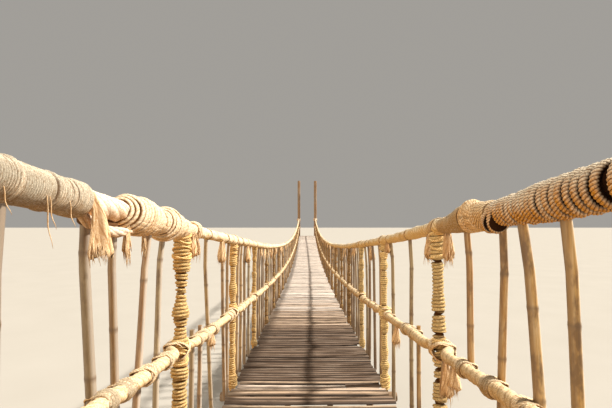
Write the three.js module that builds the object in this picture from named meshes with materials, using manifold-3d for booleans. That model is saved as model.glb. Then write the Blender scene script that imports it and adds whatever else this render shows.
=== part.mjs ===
// A rope suspension footbridge of timber, cane and wrapped rope, 30.7 m between its two portals.
//
// Millimetres, +Z up. X runs across the bridge, Y along it from the near portal to the far one,
// and the origin is on the ground plane under the middle of the span.
//
// Two thick wrapped handrail ropes hang in a shallow curve from portal to portal, and two deck
// ropes hang below them. Cross logs lie on the deck ropes and carry a deck of cane slats.
// Rope-wrapped posts stand on the cross logs' ends, with thin sticks between them, and a mid
// rope ties them together on each side.
import * as THREE from "three";
import { mergeVertices } from "three/addons/utils/BufferGeometryUtils.js";
import Module from "manifold-3d";

const wasm = await Module();
wasm.setup();

// Driving dimensions
const BAY = 1280; // from one wrapped post to the next
const BAYS = 24;
const BAYS_PER_DECK_LENGTH = 4;
const SPAN = BAY * BAYS;
const FENCE_X = 575; // from the centre line to the handrails, posts and sticks
const SEAT = 0.3; // what is left between two pieces that rest on each other

// Heights at mid-span, and how much higher each curve is at the portals
const DECK_LOW = 600;
const DECK_SAG = 760;
const HANDRAIL_LOW = DECK_LOW + 1008;
const HANDRAIL_SAG = 893;
const MID_ROPE_LOW = DECK_LOW + 446;
const MID_ROPE_SAG = 938;

// Ropes
const HANDRAIL_RADIUS = 42;
const MID_ROPE_HEIGHT = 48;
const DECK_ROPE_RADIUS = 14;
const COLLAR_GAP = 0.8; // round a portal post, inside a rope that is made fast to it
const HANDRAIL_COLLAR = { thickness: 30, height: 170 };
const MID_ROPE_COLLAR = { thickness: 20, height: 90 };
const ROPE_INTO_COLLAR = 8;

// Fences
const STICK_WIDTH = 28;
const FENCE_THICKNESS = 34;
const STICK_BELOW_DECK = 50; // the sticks' feet hang beside the deck's edge
const WRAPPED_POST_RADIUS = 33;

// Deck
const DECK_HALF_WIDTH = 535;
const DECK_THICKNESS = 62; // the slats and the runners under them
const DECK_STOP = 112; // from a portal's line to where the full width of the deck ends
const TONGUE_HALF_WIDTH = 450; // the deck's ends pass between the portal posts
const TONGUE_OVERLAP = 60;
const LENGTH_SPLIT = 0.56; // of a bay past a bay line, where one deck length meets the next
const CROSS_LOG_SIDES = 6;
const CROSS_LOG_RADIUS = 36;
const CROSS_LOG_HALF_LENGTH = 660;

// Portals
const PORTAL_SIDES = 12;
const PORTAL_RADIUS = 100;
const PORTAL_TOP = DECK_LOW + DECK_SAG + 3870;
const SILL_RADIUS = 80;
const SILL_HALF_LENGTH = 800;

// Where the sticks' feet and heads stand in a bay, as shares of it. Low ones end at the mid rope,
// and high ones start there. Each side goes through its own list of bays, over and over.
const STICKS_LEFT = [
  { tall: [[0.21, 0.19], [0.36, 0.39], [0.67, 0.65], [0.82, 0.85]] },
  { tall: [[0.22, 0.25], [0.45, 0.42], [0.79, 0.81]], low: [[0.66, 0.64]] },
  { tall: [[0.15, 0.14], [0.5, 0.37], [0.57, 0.49], [0.61, 0.71], [0.8, 0.82]] },
  { tall: [[0.54, 0.35], [0.84, 0.74], [0.9, 0.88]], low: [[0.18, 0.17], [0.3, 0.28]] },
  { tall: [[0.22, 0.25], [0.36, 0.34], [0.55, 0.5], [0.77, 0.75]] },
  { tall: [[0.16, 0.19], [0.35, 0.33], [0.5, 0.47], [0.68, 0.71], [0.86, 0.86]] },
];
const STICKS_RIGHT = [
  { tall: [[0.19, 0.17], [0.35, 0.38], [0.62, 0.61], [0.8, 0.83]] },
  { tall: [[0.21, 0.24], [0.46, 0.44], [0.63, 0.66], [0.83, 0.81]] },
  { tall: [[0.28, 0.29], [0.38, 0.44], [0.61, 0.52]], high: [[0.74, 0.74]] },
  { tall: [[0.43, 0.39], [0.82, 0.81]], low: [[0.31, 0.27]] },
  { tall: [[0.2, 0.18], [0.42, 0.45], [0.68, 0.64], [0.79, 0.82]] },
  { tall: [[0.16, 0.18], [0.33, 0.32], [0.48, 0.51], [0.68, 0.66], [0.84, 0.85]] },
];

const sides = [
  { name: "left", sign: -1, sticks: STICKS_LEFT },
  { name: "right", sign: 1, sticks: STICKS_RIGHT },
];
const ends = [
  { name: "near", sign: -1 },
  { name: "far", sign: 1 },
];

const wood = new THREE.MeshStandardMaterial({ color: 0x8a6a45, roughness: 0.85, metalness: 0 });
const cane = new THREE.MeshStandardMaterial({ color: 0xb89a74, roughness: 0.7, metalness: 0 });
const slats = new THREE.MeshStandardMaterial({ color: 0x9a8268, roughness: 0.8, metalness: 0 });
const rope = new THREE.MeshStandardMaterial({ color: 0xc89a63, roughness: 0.95, metalness: 0 });

const bridge = new THREE.Group();

function addPiece(name, geometry, material) {
  const mesh = new THREE.Mesh(geometry, material);
  mesh.name = name;
  bridge.add(mesh);
}

// Heights over the length of the bridge

const bayLine = (index) => (index - BAYS / 2) * BAY;

// How high a hanging curve is at a bay line
const hanging = (low, sag) => (index) => low + sag * ((2 * bayLine(index)) / SPAN) ** 2;

// The same curve at any Y, straight from one bay line to the next
function straightBetween(heightAtLine) {
  return (y) => {
    const bays = y / BAY + BAYS / 2;
    const index = THREE.MathUtils.clamp(Math.floor(bays), 0, BAYS - 1);
    return THREE.MathUtils.lerp(heightAtLine(index), heightAtLine(index + 1), bays - index);
  };
}

const deckTop = straightBetween(hanging(DECK_LOW, DECK_SAG));
const handrailAxis = straightBetween(hanging(HANDRAIL_LOW, HANDRAIL_SAG));
const midRopeAxis = straightBetween(hanging(MID_ROPE_LOW, MID_ROPE_SAG));

// The deck's slope at a bay line, as the mean of the bays that meet there
function deckSlope(index) {
  const before = Math.max(bayLine(index) - BAY, -SPAN / 2);
  const after = Math.min(bayLine(index) + BAY, SPAN / 2);
  return (deckTop(after) - deckTop(before)) / (after - before);
}

// Upright size of something that is tilted with the deck
const tilted = (size, slope) => size * Math.hypot(1, slope);

const logTop = (y) => deckTop(y) - DECK_THICKNESS - SEAT;
const deckRopeAxis = straightBetween((index) => {
  const logHeight = tilted(2 * CROSS_LOG_RADIUS, deckSlope(index));
  return logTop(bayLine(index)) - logHeight - SEAT - DECK_ROPE_RADIUS;
});

// The bay lines inside a length of the bridge, with the length's own ends
function stopsBetween(from, to) {
  const lines = Array.from({ length: BAYS + 1 }, (_, index) => bayLine(index));
  return [from, ...lines.filter((y) => y > from && y < to), to];
}

// Solids

function toSolid(geometry) {
  const bare = new THREE.BufferGeometry();
  bare.setAttribute("position", geometry.getAttribute("position"));
  bare.setIndex(geometry.getIndex());
  const merged = mergeVertices(bare, 1e-3);
  return new wasm.Manifold(
    new wasm.Mesh({
      numProp: 3,
      vertProperties: merged.getAttribute("position").array,
      triVerts: new Uint32Array(merged.getIndex().array),
    }),
  );
}

// One closed geometry from several that run into each other
function fuse(geometries) {
  const solid = geometries.map(toSolid).reduce((whole, piece) => whole.add(piece));
  const mesh = solid.getMesh();
  const fused = new THREE.BufferGeometry();
  fused.setAttribute("position", new THREE.BufferAttribute(mesh.vertProperties, 3));
  fused.setIndex(new THREE.BufferAttribute(mesh.triVerts, 1));
  return fused;
}

// A regular outline round a point, with a flat at its bottom and one at its top
function roundOutline(count, flatRadius, x = 0, y = 0) {
  const corner = flatRadius / Math.cos(Math.PI / count);
  const points = Array.from({ length: count }, (_, i) => {
    const turn = ((i + 0.5) / count) * 2 * Math.PI - Math.PI / 2;
    return new THREE.Vector2(x + corner * Math.cos(turn), y + corner * Math.sin(turn));
  });
  return new THREE.Shape(points);
}

// The section of a length of deck, from its underside up to Z 0
function slabOutline(halfWidth) {
  return new THREE.Shape([
    new THREE.Vector2(-halfWidth, -DECK_THICKNESS),
    new THREE.Vector2(halfWidth, -DECK_THICKNESS),
    new THREE.Vector2(halfWidth, 0),
    new THREE.Vector2(-halfWidth, 0),
  ]);
}

// An outline in X and Z, drawn from one Y to another, with its heights lifted onto a curve.
// Its rings lie on the bay lines, so it keeps to the straight stretches of the curve.
function alongBridge(outline, from, to, curve) {
  const stops = stopsBetween(from, to);
  const steps = stops.length - 1;
  const geometry = new THREE.ExtrudeGeometry(outline, { depth: steps, steps, bevelEnabled: false });
  const place = geometry.getAttribute("position");
  for (let i = 0; i < place.count; i++) {
    const y = stops[steps - Math.round(place.getZ(i))];
    place.setXYZ(i, place.getX(i), y, place.getY(i) + curve(y));
  }
  return geometry;
}

// An outline in X and Y, drawn upwards between two heights that can change along Y
function upright(outline, lowAt, highAt) {
  const geometry = new THREE.ExtrudeGeometry(outline, { depth: 1, bevelEnabled: false });
  const place = geometry.getAttribute("position");
  for (let i = 0; i < place.count; i++) {
    const heightAt = place.getZ(i) > 0.5 ? highAt : lowAt;
    place.setZ(i, heightAt(place.getY(i)));
  }
  return geometry;
}

// Turns an outline's own X, Y and depth into Y, Z and X
const LYING_ACROSS = new THREE.Matrix4().makeBasis(
  new THREE.Vector3(0, 1, 0),
  new THREE.Vector3(0, 0, 1),
  new THREE.Vector3(1, 0, 0),
);

// An outline in Y and Z, given its thickness across the bridge
function acrossBridge(outline, x, thickness) {
  const geometry = new THREE.ExtrudeGeometry(outline, { depth: thickness, bevelEnabled: false });
  return geometry.applyMatrix4(LYING_ACROSS).translate(x - thickness / 2, 0, 0);
}

// A round log across the bridge, tilted so that its flats lie along the deck's slope
function crossLog(count, radius, halfLength, slope, y, z) {
  const log = acrossBridge(roundOutline(count, radius), 0, 2 * halfLength);
  return log.rotateX(Math.atan(slope)).translate(0, y, z);
}

const portalCorner = PORTAL_RADIUS / Math.cos(Math.PI / PORTAL_SIDES);
const collarInside = portalCorner + COLLAR_GAP;

// A ring of rope round a portal post, its section given as [radius, height] corners
function ringRoundPost(section, side, end, height) {
  const corners = section.map(([radius, rise]) => new THREE.Vector2(radius, rise));
  corners.push(corners[0].clone());
  return new THREE.LatheGeometry(corners, PORTAL_SIDES)
    .rotateY(Math.PI / PORTAL_SIDES)
    .rotateX(Math.PI / 2)
    .translate(side * FENCE_X, (end * SPAN) / 2, height);
}

// Collars at both ends of a rope, which ends inside them
function ropeEnd(collar) {
  return SPAN / 2 - collarInside - collar.thickness + ROPE_INTO_COLLAR;
}

function collars({ thickness, height }, side, axis) {
  const outside = collarInside + thickness;
  const section = [
    [collarInside, -height / 2],
    [outside, -height / 2],
    [outside, height / 2],
    [collarInside, height / 2],
  ];
  return ends.map(({ sign }) => ringRoundPost(section, side, sign, axis(SPAN / 2)));
}

// Portals: two tall round timbers at each end, and a sill log behind them under the deck ropes

for (const end of ends) {
  for (const side of sides) {
    const outline = roundOutline(PORTAL_SIDES, PORTAL_RADIUS, side.sign * FENCE_X, (end.sign * SPAN) / 2);
    const post = upright(outline, () => 0, () => PORTAL_TOP);
    addPiece(`${end.name}_${side.name}_portal_post`, post, wood);
  }
}

const endSlope = deckSlope(BAYS);
const sillCorner = SILL_RADIUS / Math.cos(Math.PI / PORTAL_SIDES);
const sillReach = sillCorner * Math.cos(Math.PI / PORTAL_SIDES - Math.atan(endSlope));
const sillY = SPAN / 2 - PORTAL_RADIUS - SEAT - sillReach;
const sillZ = deckRopeAxis(sillY) - DECK_ROPE_RADIUS - tilted(SEAT + SILL_RADIUS, endSlope);

for (const { name, sign } of ends) {
  const y = sign * sillY;
  const log = crossLog(PORTAL_SIDES, SILL_RADIUS, SILL_HALF_LENGTH, sign * endSlope, y, sillZ);
  addPiece(`${name}_sill_log`, log, wood);
}

// Handrail ropes, each from portal to portal and made fast round both posts

for (const { name, sign } of sides) {
  const end = ropeEnd(HANDRAIL_COLLAR);
  const outline = roundOutline(8, HANDRAIL_RADIUS, sign * FENCE_X);
  const length = alongBridge(outline, -end, end, handrailAxis);
  addPiece(`${name}_handrail_rope`, fuse([length, ...collars(HANDRAIL_COLLAR, sign, handrailAxis)]), rope);
}

// Deck ropes, which pass over the sill logs and loop round the portal posts

const loopRadius = collarInside + DECK_ROPE_RADIUS;
const loopSection = Array.from({ length: 6 }, (_, i) => {
  const turn = (i / 6) * 2 * Math.PI;
  return [loopRadius + DECK_ROPE_RADIUS * Math.cos(turn), DECK_ROPE_RADIUS * Math.sin(turn)];
});
const deckRopeX = FENCE_X - loopRadius;

for (const { name, sign } of sides) {
  const outline = roundOutline(6, DECK_ROPE_RADIUS, sign * deckRopeX);
  const length = alongBridge(outline, -SPAN / 2, SPAN / 2, deckRopeAxis);
  const height = deckRopeAxis(SPAN / 2);
  const loops = ends.map((end) => ringRoundPost(loopSection, sign, end.sign, height));
  addPiece(`${name}_deck_rope`, fuse([length, ...loops]), rope);
}

// Cross logs, one at each bay line and one over each sill log

const logs = [{ y: -sillY, slope: -endSlope }];
for (let index = 1; index < BAYS; index++) {
  logs.push({ y: bayLine(index), slope: deckSlope(index) });
}
logs.push({ y: sillY, slope: endSlope });

logs.forEach(({ y, slope }, i) => {
  const z = logTop(y) - tilted(CROSS_LOG_RADIUS, slope);
  const log = crossLog(CROSS_LOG_SIDES, CROSS_LOG_RADIUS, CROSS_LOG_HALF_LENGTH, slope, y, z);
  addPiece(`cross_log_${i + 1}`, log, wood);
});

// Deck lengths, the first and last with a narrower tongue between the portal posts

const deckLengths = BAYS / BAYS_PER_DECK_LENGTH;
const fullWidthEnd = SPAN / 2 - DECK_STOP;
const tongueEnd = SPAN / 2 + PORTAL_RADIUS;

// Where a deck length meets the one before it
const splitBefore = (length) => bayLine(length * BAYS_PER_DECK_LENGTH + LENGTH_SPLIT);

for (let length = 0; length < deckLengths; length++) {
  const isFirst = length === 0;
  const isLast = length === deckLengths - 1;
  const from = isFirst ? -fullWidthEnd : splitBefore(length) + SEAT / 2;
  const to = isLast ? fullWidthEnd : splitBefore(length + 1) - SEAT / 2;
  const pieces = [alongBridge(slabOutline(DECK_HALF_WIDTH), from, to, deckTop)];
  const tongue = slabOutline(TONGUE_HALF_WIDTH);
  if (isFirst) pieces.push(alongBridge(tongue, -tongueEnd, from + TONGUE_OVERLAP, deckTop));
  if (isLast) pieces.push(alongBridge(tongue, to - TONGUE_OVERLAP, tongueEnd, deckTop));
  addPiece(`deck_length_${length + 1}`, fuse(pieces), slats);
}

// Fences: a mid rope from portal to portal with the sticks and wrapped posts that it ties

const stickFoot = (y) => deckTop(y) - STICK_BELOW_DECK;
const handrailUnderside = (y) => handrailAxis(y) - HANDRAIL_RADIUS - SEAT;

function sticksOf(patterns) {
  const sticks = [];
  for (let bay = 0; bay < BAYS; bay++) {
    for (const [kind, places] of Object.entries(patterns[bay % patterns.length])) {
      for (const [footShare, headShare] of places) {
        const foot = bayLine(bay + footShare);
        const head = bayLine(bay + headShare);
        sticks.push({ foot, head, y: (foot + head) / 2, kind });
      }
    }
  }
  return sticks;
}

// One long edge of the mid rope, with the sticks that stand out from it as teeth.
// The way is 1 for the upper edge and -1 for the lower one.
function ropeEdge(end, sticks, tip, way) {
  const half = STICK_WIDTH / 2;
  const edge = (y) => midRopeAxis(y) + (way * MID_ROPE_HEIGHT) / 2;
  const runs = stopsBetween(-end, end).map((y) => ({ y, corners: [[y, edge(y)]] }));
  for (const { foot, head, y } of sticks) {
    const tipY = way > 0 ? head : foot;
    const corners = [
      [y - half, edge(y - half)],
      [tipY - half, tip(tipY - half)],
      [tipY + half, tip(tipY + half)],
      [y + half, edge(y + half)],
    ];
    runs.push({ y, corners });
  }
  runs.sort((a, b) => a.y - b.y);
  return runs.flatMap(({ corners }) => corners);
}

// The outline in Y and Z of a mid rope and its sticks, like a comb with teeth on both sides
function combOutline(end, sticks) {
  const downwards = sticks.filter(({ kind }) => kind !== "high");
  const upwards = sticks.filter(({ kind }) => kind !== "low");
  const below = ropeEdge(end, downwards, stickFoot, -1);
  const above = ropeEdge(end, upwards, handrailUnderside, 1);
  return new THREE.Shape([...below, ...above.reverse()].map(([y, z]) => new THREE.Vector2(y, z)));
}

// A wrapped post on the end of the cross log at a bay line
function wrappedPost(index, x) {
  const line = bayLine(index);
  const outline = roundOutline(6, WRAPPED_POST_RADIUS, x, line);
  const foot = (y) => logTop(line) + SEAT + deckSlope(index) * (y - line);
  return upright(outline, foot, handrailUnderside);
}

for (const { name, sign, sticks } of sides) {
  const x = sign * FENCE_X;
  const outline = combOutline(ropeEnd(MID_ROPE_COLLAR), sticksOf(sticks));
  const pieces = [acrossBridge(outline, x, FENCE_THICKNESS)];
  for (let index = 1; index < BAYS; index++) pieces.push(wrappedPost(index, x));
  pieces.push(...collars(MID_ROPE_COLLAR, sign, midRopeAxis));
  addPiece(`${name}_fence`, fuse(pieces), cane);
}

export default bridge;
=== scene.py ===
"""Looks of a rope suspension footbridge, in metres, in the same frame as its solids.

X runs across the bridge and Y along it, and the ground is at Z 0. The eye of the view stands on the
bridge two metres in from the near portal and looks along it.
"""
import math
import random

import bmesh
import bpy
from mathutils import Matrix, Vector, noise


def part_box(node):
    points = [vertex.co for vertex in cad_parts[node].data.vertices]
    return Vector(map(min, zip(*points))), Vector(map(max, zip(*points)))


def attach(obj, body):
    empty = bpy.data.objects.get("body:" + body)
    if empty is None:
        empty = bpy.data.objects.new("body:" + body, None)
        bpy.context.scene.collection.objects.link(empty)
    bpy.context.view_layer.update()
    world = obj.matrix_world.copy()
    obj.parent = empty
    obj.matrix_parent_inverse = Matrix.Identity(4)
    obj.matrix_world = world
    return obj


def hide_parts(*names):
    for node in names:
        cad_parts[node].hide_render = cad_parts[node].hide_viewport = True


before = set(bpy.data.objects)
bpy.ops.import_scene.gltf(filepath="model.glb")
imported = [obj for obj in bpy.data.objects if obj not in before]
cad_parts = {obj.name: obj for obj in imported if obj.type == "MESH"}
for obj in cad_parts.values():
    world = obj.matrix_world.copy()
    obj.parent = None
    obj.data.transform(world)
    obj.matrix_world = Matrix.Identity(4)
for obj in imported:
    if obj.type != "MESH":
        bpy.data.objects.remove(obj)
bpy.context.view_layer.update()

# Driving dimensions
BAY = 1.28
BAYS = 24
SPAN = BAY * BAYS
FENCE_X = 0.575
DECK_LOW, DECK_SAG = 0.600, 0.760
HANDRAIL_LOW, HANDRAIL_SAG = 1.608, 0.893
MID_ROPE_LOW, MID_ROPE_SAG = 1.046, 0.938
TAU = 2 * math.pi

# Deck, from its walking surface down
SLAT_THICKNESS = 0.022
DECK_THICKNESS = 0.062
LOG_RADIUS = 0.036
LOG_HALF_LENGTH = 0.66
DECK_ROPE_RADIUS = 0.014

# Portals
PORTAL_RADIUS = 0.100
PORTAL_TOP = 5.23
SILL_RADIUS = 0.080
SILL_HALF_LENGTH = 0.800

# The eye and its view
EYE_X, EYE_Y, EYE_Z = -0.012, -13.368, 2.1245
EYE_TILT_UP = 0.0512
EYE_TURN_LEFT = 0.0023
LENS_MM = 24
FILM_WIDTH_MM = 36

FIRST_LINE = 3  # the bay line of the first pair of posts in the view
CLOSE_RANGE = (0.1, 4.7)  # how far ahead of the eye ropes are modelled finely
CLOSE_LINES = (3, 4)  # and the bay lines where posts are
LAST_NEAR_LINE = 5  # the last post of the paler rope

# Where the sticks' feet and heads stand in a bay, as shares of it. Low ones end at the mid rope, and
# high ones start there. Each side goes through its own list of bays, over and over.
STICKS = {
    -1: [{"tall": [(0.21, 0.19), (0.36, 0.39), (0.67, 0.65), (0.82, 0.85)]},
         {"tall": [(0.22, 0.25), (0.45, 0.42), (0.79, 0.81)], "low": [(0.66, 0.64)]},
         {"tall": [(0.15, 0.14), (0.50, 0.37), (0.57, 0.49), (0.61, 0.71), (0.80, 0.82)]},
         {"tall": [(0.54, 0.35), (0.84, 0.74), (0.90, 0.88)], "low": [(0.18, 0.17), (0.30, 0.28)]},
         {"tall": [(0.22, 0.25), (0.36, 0.34), (0.55, 0.50), (0.77, 0.75)]},
         {"tall": [(0.16, 0.19), (0.35, 0.33), (0.50, 0.47), (0.68, 0.71), (0.86, 0.86)]}],
    1: [{"tall": [(0.19, 0.17), (0.35, 0.38), (0.62, 0.61), (0.80, 0.83)]},
        {"tall": [(0.21, 0.24), (0.46, 0.44), (0.63, 0.66), (0.83, 0.81)]},
        {"tall": [(0.28, 0.29), (0.38, 0.44), (0.61, 0.52)], "high": [(0.74, 0.74)]},
        {"tall": [(0.43, 0.39), (0.82, 0.81)], "low": [(0.31, 0.27)]},
        {"tall": [(0.20, 0.18), (0.42, 0.45), (0.68, 0.64), (0.79, 0.82)]},
        {"tall": [(0.16, 0.18), (0.33, 0.32), (0.48, 0.51), (0.68, 0.66), (0.84, 0.85)]}],
}
STICK_X = 0.590
STICK_RADIUS = 0.0135
STICK_BELOW_DECK = 0.05
POST_RADIUS = 0.0275
SLIM_POST_RADIUS = 0.0225  # where a post's winding is thinnest

# The radius of the winding on the first pair of posts in the view, by how far below the head
POST_OUTLINES = {
    -1: [(0.0, 0.039), (0.10, 0.0385), (0.17, 0.039), (0.195, 0.031), (0.225, 0.030), (0.25, 0.025),
         (0.305, 0.025), (0.372, 0.0395), (0.43, 0.026), (0.463, 0.0275), (0.50, 0.041), (0.55, 0.031),
         (0.62, 0.040), (0.69, 0.0315), (0.78, 0.035), (1.0, 0.032)],
    1: [(0.0, 0.032), (0.12, 0.031), (0.15, 0.029), (0.20, 0.025), (0.275, 0.026), (0.33, 0.032),
        (0.39, 0.029), (0.445, 0.033), (0.50, 0.027), (0.64, 0.025), (0.73, 0.032), (1.0, 0.030)],
}
# The dark gaps in that winding, deeper grooves painted with shade: where they are, how deep, and how far
# each one reaches
POST_GAPS = {
    -1: (0.12, 0.188, 0.222, 0.255, 0.279, 0.39, 0.426, 0.52, 0.60, 0.658, 0.695, 0.74, 0.80),
    1: (0.135, 0.37, 0.46, 0.49, 0.535, 0.57, 0.61, 0.66, 0.76),
}
POST_GAP_BASE = 0.35
POST_GAP_DEPTH = {-1: 1.4, 1: 1.8}
POST_GAP_REACH = {-1: 0.011, 1: 0.018}

# How much dirt and painted shade darken the fences, as how far ahead of the eye and its share there. Much
# of it is painted shade.
DIRT_AND_SHADE = {
    -1: [(2.0, 0.60), (5.0, 0.63), (30.0, 0.64)],
    1: [(1.5, 0.12), (3.6, 0.62), (30.0, 0.68)],
}

# Ropes
RAIL_RADIUS = 0.0315
ROPE_END = SPAN / 2 - 0.126  # where the handrails meet the turns round the portal posts
MID_ROPE_RADIUS = 0.025
MID_ROPE_END = SPAN / 2 - 0.116
MID_ROPE_INSIDE, MID_ROPE_OUTSIDE = 0.556, 0.614  # inside the sticks and outside the posts
DECK_ROPE_X = 0.4567
RAIL_TURNS_CORD, MID_TURNS_CORD = 0.0285, 0.021  # what is wound round the portal posts

# The length in which a rope's strands wind round it once
COARSE_LAY = 0.0225
NECK_LAY = 0.32
MID_ROPE_LAY = 0.12

# The left handrail's coverings. Where one changes is given as how far ahead of the eye it does.
WHIPPING_ENDS = 1.0
WHIPPING_RADIUS = 0.0405
WHIPPING_CORD, BACK_WHIPPING_CORD = 0.0068, 0.0085
WHIPPING_SEAMS = [(0.712, 1.6), (0.730, 1.8), (0.856, 2.8), (0.912, 2.2), (0.932, 2.4)]  # and how deep
LEFT_JOINT = (1.20, 1.53, 1.96)  # its start, its waist and its end
JOINT_CORD = 0.021

# The right handrail's coverings, given in the same way
COARSE_CORD = 0.0195
WIDE_GAP = (0.741, 0.786)  # the two turns that stand furthest apart
COARSE_STEP = 1.08  # where the coarse rope's turns get smaller
COARSE_ENDS = 1.21
SLACK_TURNS = (1.240, 1.260)
KNOT_AT = 1.415
FINE_STARTS, FINE_ENDS = 1.49, 1.78
FINE_CORD, MIDDLE_CORD = 0.010, 0.016

# Frayed ends: how far ahead of the eye, how long, how wide, and how far inside the rail
RAIL_TASSELS = {
    -1: [(1.238, 0.115, 0.022, 0.020), (1.39, 0.095, 0.012, 0.010),
         (1.95, 0.115, 0.072, 0.02), (2.65, 0.15, 0.055, 0.01), (3.8, 0.17, 0.060, 0.01)],
    1: [(1.72, 0.135, 0.050, 0.0), (1.93, 0.13, 0.055, 0.01), (2.9, 0.08, 0.05, 0.01),
        (3.74, 0.15, 0.060, 0.0)],
}
MID_ROPE_TASSELS = {
    -1: [(2.35, 0.08, 0.04)],
    1: [(1.69, 0.16, 0.050), (1.60, 0.10, 0.050), (2.6, 0.13, 0.05)],
}

# The frayed end of the whipping
FLAP_LENGTH, FLAP_HALF_WIDTH = 0.165, 0.036

# Threads that hang from the whipping, by how far ahead of the eye and how long
LOOSE_THREADS = [(0.705, 0.055), (0.825, 0.110), (0.835, 0.070), (0.905, 0.060)]

# Deck
SLAT_HALF_LENGTH = 0.568
SLAT_BETWEEN_POSTS = 0.530
POST_CLEARANCE = 0.07  # how near a bay line a slat has to fit between the posts
SLAT_WIDTHS = (0.030, 0.072, 0.050)  # the narrowest, the widest and the most common
SLAT_GAPS = (0.003, 0.004, 0.006, 0.010, 0.016)
WIDE_BOARD_SHARE = 0.03
WIDE_BOARD_WIDTHS = (0.09, 0.13)
TONGUE_HALF_WIDTH = 0.45
DECK_STOP = 0.112
DECK_LENGTHS = 6
BAYS_A_LENGTH = 4
LENGTH_SPLIT = 0.56  # of a bay past a bay line, where one deck length meets the next
RUNNER_RADIUS = 0.020
RUNNER_PLACES = (-0.40, -0.14, 0.14, 0.40)
PALE_BOARD = 3.08  # how far ahead of the eye a wide new board lies, on the left only
PALE_BOARD_WIDTH = 0.095
PALE_BOARD_END = 0.27
PALE_BOARD_TONE = 0.84

# How pale the deck is, as how far ahead of the eye and how pale its slats are there, from weather and
# painted light. The dark stretch from 3.35 to 4.9 is painted shade.
DECK_PALENESS_AND_SHADE = [(-1.5, 0.45), (1.8, 0.50), (3.1, 0.50), (3.35, 0.0), (4.9, 0.04), (5.9, 0.62),
             (9.0, 1.15), (30.0, 1.15)]

# Light
SUN_TRAVELS = (-1.07, -0.15, -1.0)
SUN_STRENGTH = 7.0
SUN_COLOUR = (1.0, 0.94, 0.84)
SUN_SPREAD_DEGREES = 4.0
FILL_TRAVELS = (0.80, 1.0, -0.30)
FILL_STRENGTH = 2.3
FILL_COLOUR = (1.0, 0.84, 0.62)
FILL_SPREAD_DEGREES = 70.0
SKY_COLOUR = (1.0, 0.955, 0.885)
SKY_STRENGTH = 0.36
FLOOR_REACH = 300.0

SIDES = {-1: "left", 1: "right"}
ENDS = {-1: "near", 1: "far"}


# Places along the bridge

def hanging(low, sag):
    return lambda y: low + sag * (2 * y / SPAN) ** 2


deck_top = hanging(DECK_LOW, DECK_SAG)
handrail_z = hanging(HANDRAIL_LOW, HANDRAIL_SAG)
mid_rope_z = hanging(MID_ROPE_LOW, MID_ROPE_SAG)


def bay_line(index):
    return (index - BAYS / 2) * BAY


def slope_angle(y):
    return math.atan(8 * DECK_SAG * y / SPAN ** 2)


def ahead(distance):
    """The Y of what stands so far in front of the eye."""
    return EYE_Y + distance


def from_eye(y):
    """How far in front of the eye a place is."""
    return y - EYE_Y


def from_bay_line(y):
    """How far past the nearest bay line a place is."""
    return y - BAY * round(y / BAY)


def is_close(y):
    return CLOSE_RANGE[0] < from_eye(y) < CLOSE_RANGE[1]


def log_top(y):
    return deck_top(y) - DECK_THICKNESS


def deck_rope_z(y):
    return log_top(y) - (2 * LOG_RADIUS + DECK_ROPE_RADIUS)


def drift(place, seed, size=1.0):
    """A smooth random value, between minus and plus its size, that changes with place."""
    return size * noise.noise(Vector((place, 3.7 * seed + 0.31, 1.7)))


def smooth(low, high, value):
    """0 below low, 1 above high, and smooth between them."""
    share = min(max((value - low) / (high - low), 0.0), 1.0)
    return share * share * (3 - 2 * share)


def hump(middle, half_width, value):
    """1 at the middle, falling smoothly to 0 at half a width to either side."""
    return 1 - smooth(0.0, half_width, abs(value - middle))


def read_off(stops, value):
    """A value read off a list of (place, value) stops, smooth between them."""
    if value <= stops[0][0]:
        return stops[0][1]
    for (before, low), (after, high) in zip(stops, stops[1:]):
        if value <= after:
            return low + (high - low) * smooth(before, after, value)
    return stops[-1][1]


def stations(start, end, step):
    """Evenly spread places from start to end, about a step apart."""
    count = max(1, round(abs(end - start) / step))
    return [start + (end - start) * i / count for i in range(count + 1)]


def rope_stations(start, end, fine, coarse):
    """Places along the bridge, close together only where the eye is near."""
    close = [min(max(ahead(distance), start), end) for distance in (0.4, CLOSE_RANGE[1])]
    near = stations(start, close[0], coarse)[:-1] if close[0] > start else []
    return near + stations(close[0], close[1], fine)[:-1] + stations(close[1], end, coarse)


# Meshes

class Assembly:
    """A mesh that is joined from many separate closed skins."""

    def __init__(self):
        self.bm = bmesh.new()

    def add(self, part, tone=0.5, matrix=None):
        """Takes in a skin and frees it. The tone tells one stick or slat from the next."""
        layer = part.verts.layers.float.get("tone") or part.verts.layers.float.new("tone")
        for vert in part.verts:
            vert[layer] = tone
        mesh = bpy.data.meshes.new("part")
        part.to_mesh(mesh)
        part.free()
        if matrix is not None:
            mesh.transform(matrix)
        self.bm.from_mesh(mesh)
        bpy.data.meshes.remove(mesh)

    def as_mesh(self, name):
        mesh = bpy.data.meshes.new(name)
        self.bm.to_mesh(mesh)
        self.bm.free()
        return mesh

    def finish(self, name, look, slot, nodes=(), sharp_degrees=None):
        """Makes the piece, with its material, and lets it stand for CAD nodes."""
        mesh = self.as_mesh(name)
        mesh.shade_smooth()
        if sharp_degrees is not None:
            mesh.set_sharp_from_angle(angle=math.radians(sharp_degrees))
        piece = bpy.data.objects.new(name, mesh)
        bpy.context.scene.collection.objects.link(piece)
        piece.data.materials.append(look)
        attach(piece, "root")
        if nodes:
            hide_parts(*nodes)
        return piece


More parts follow.
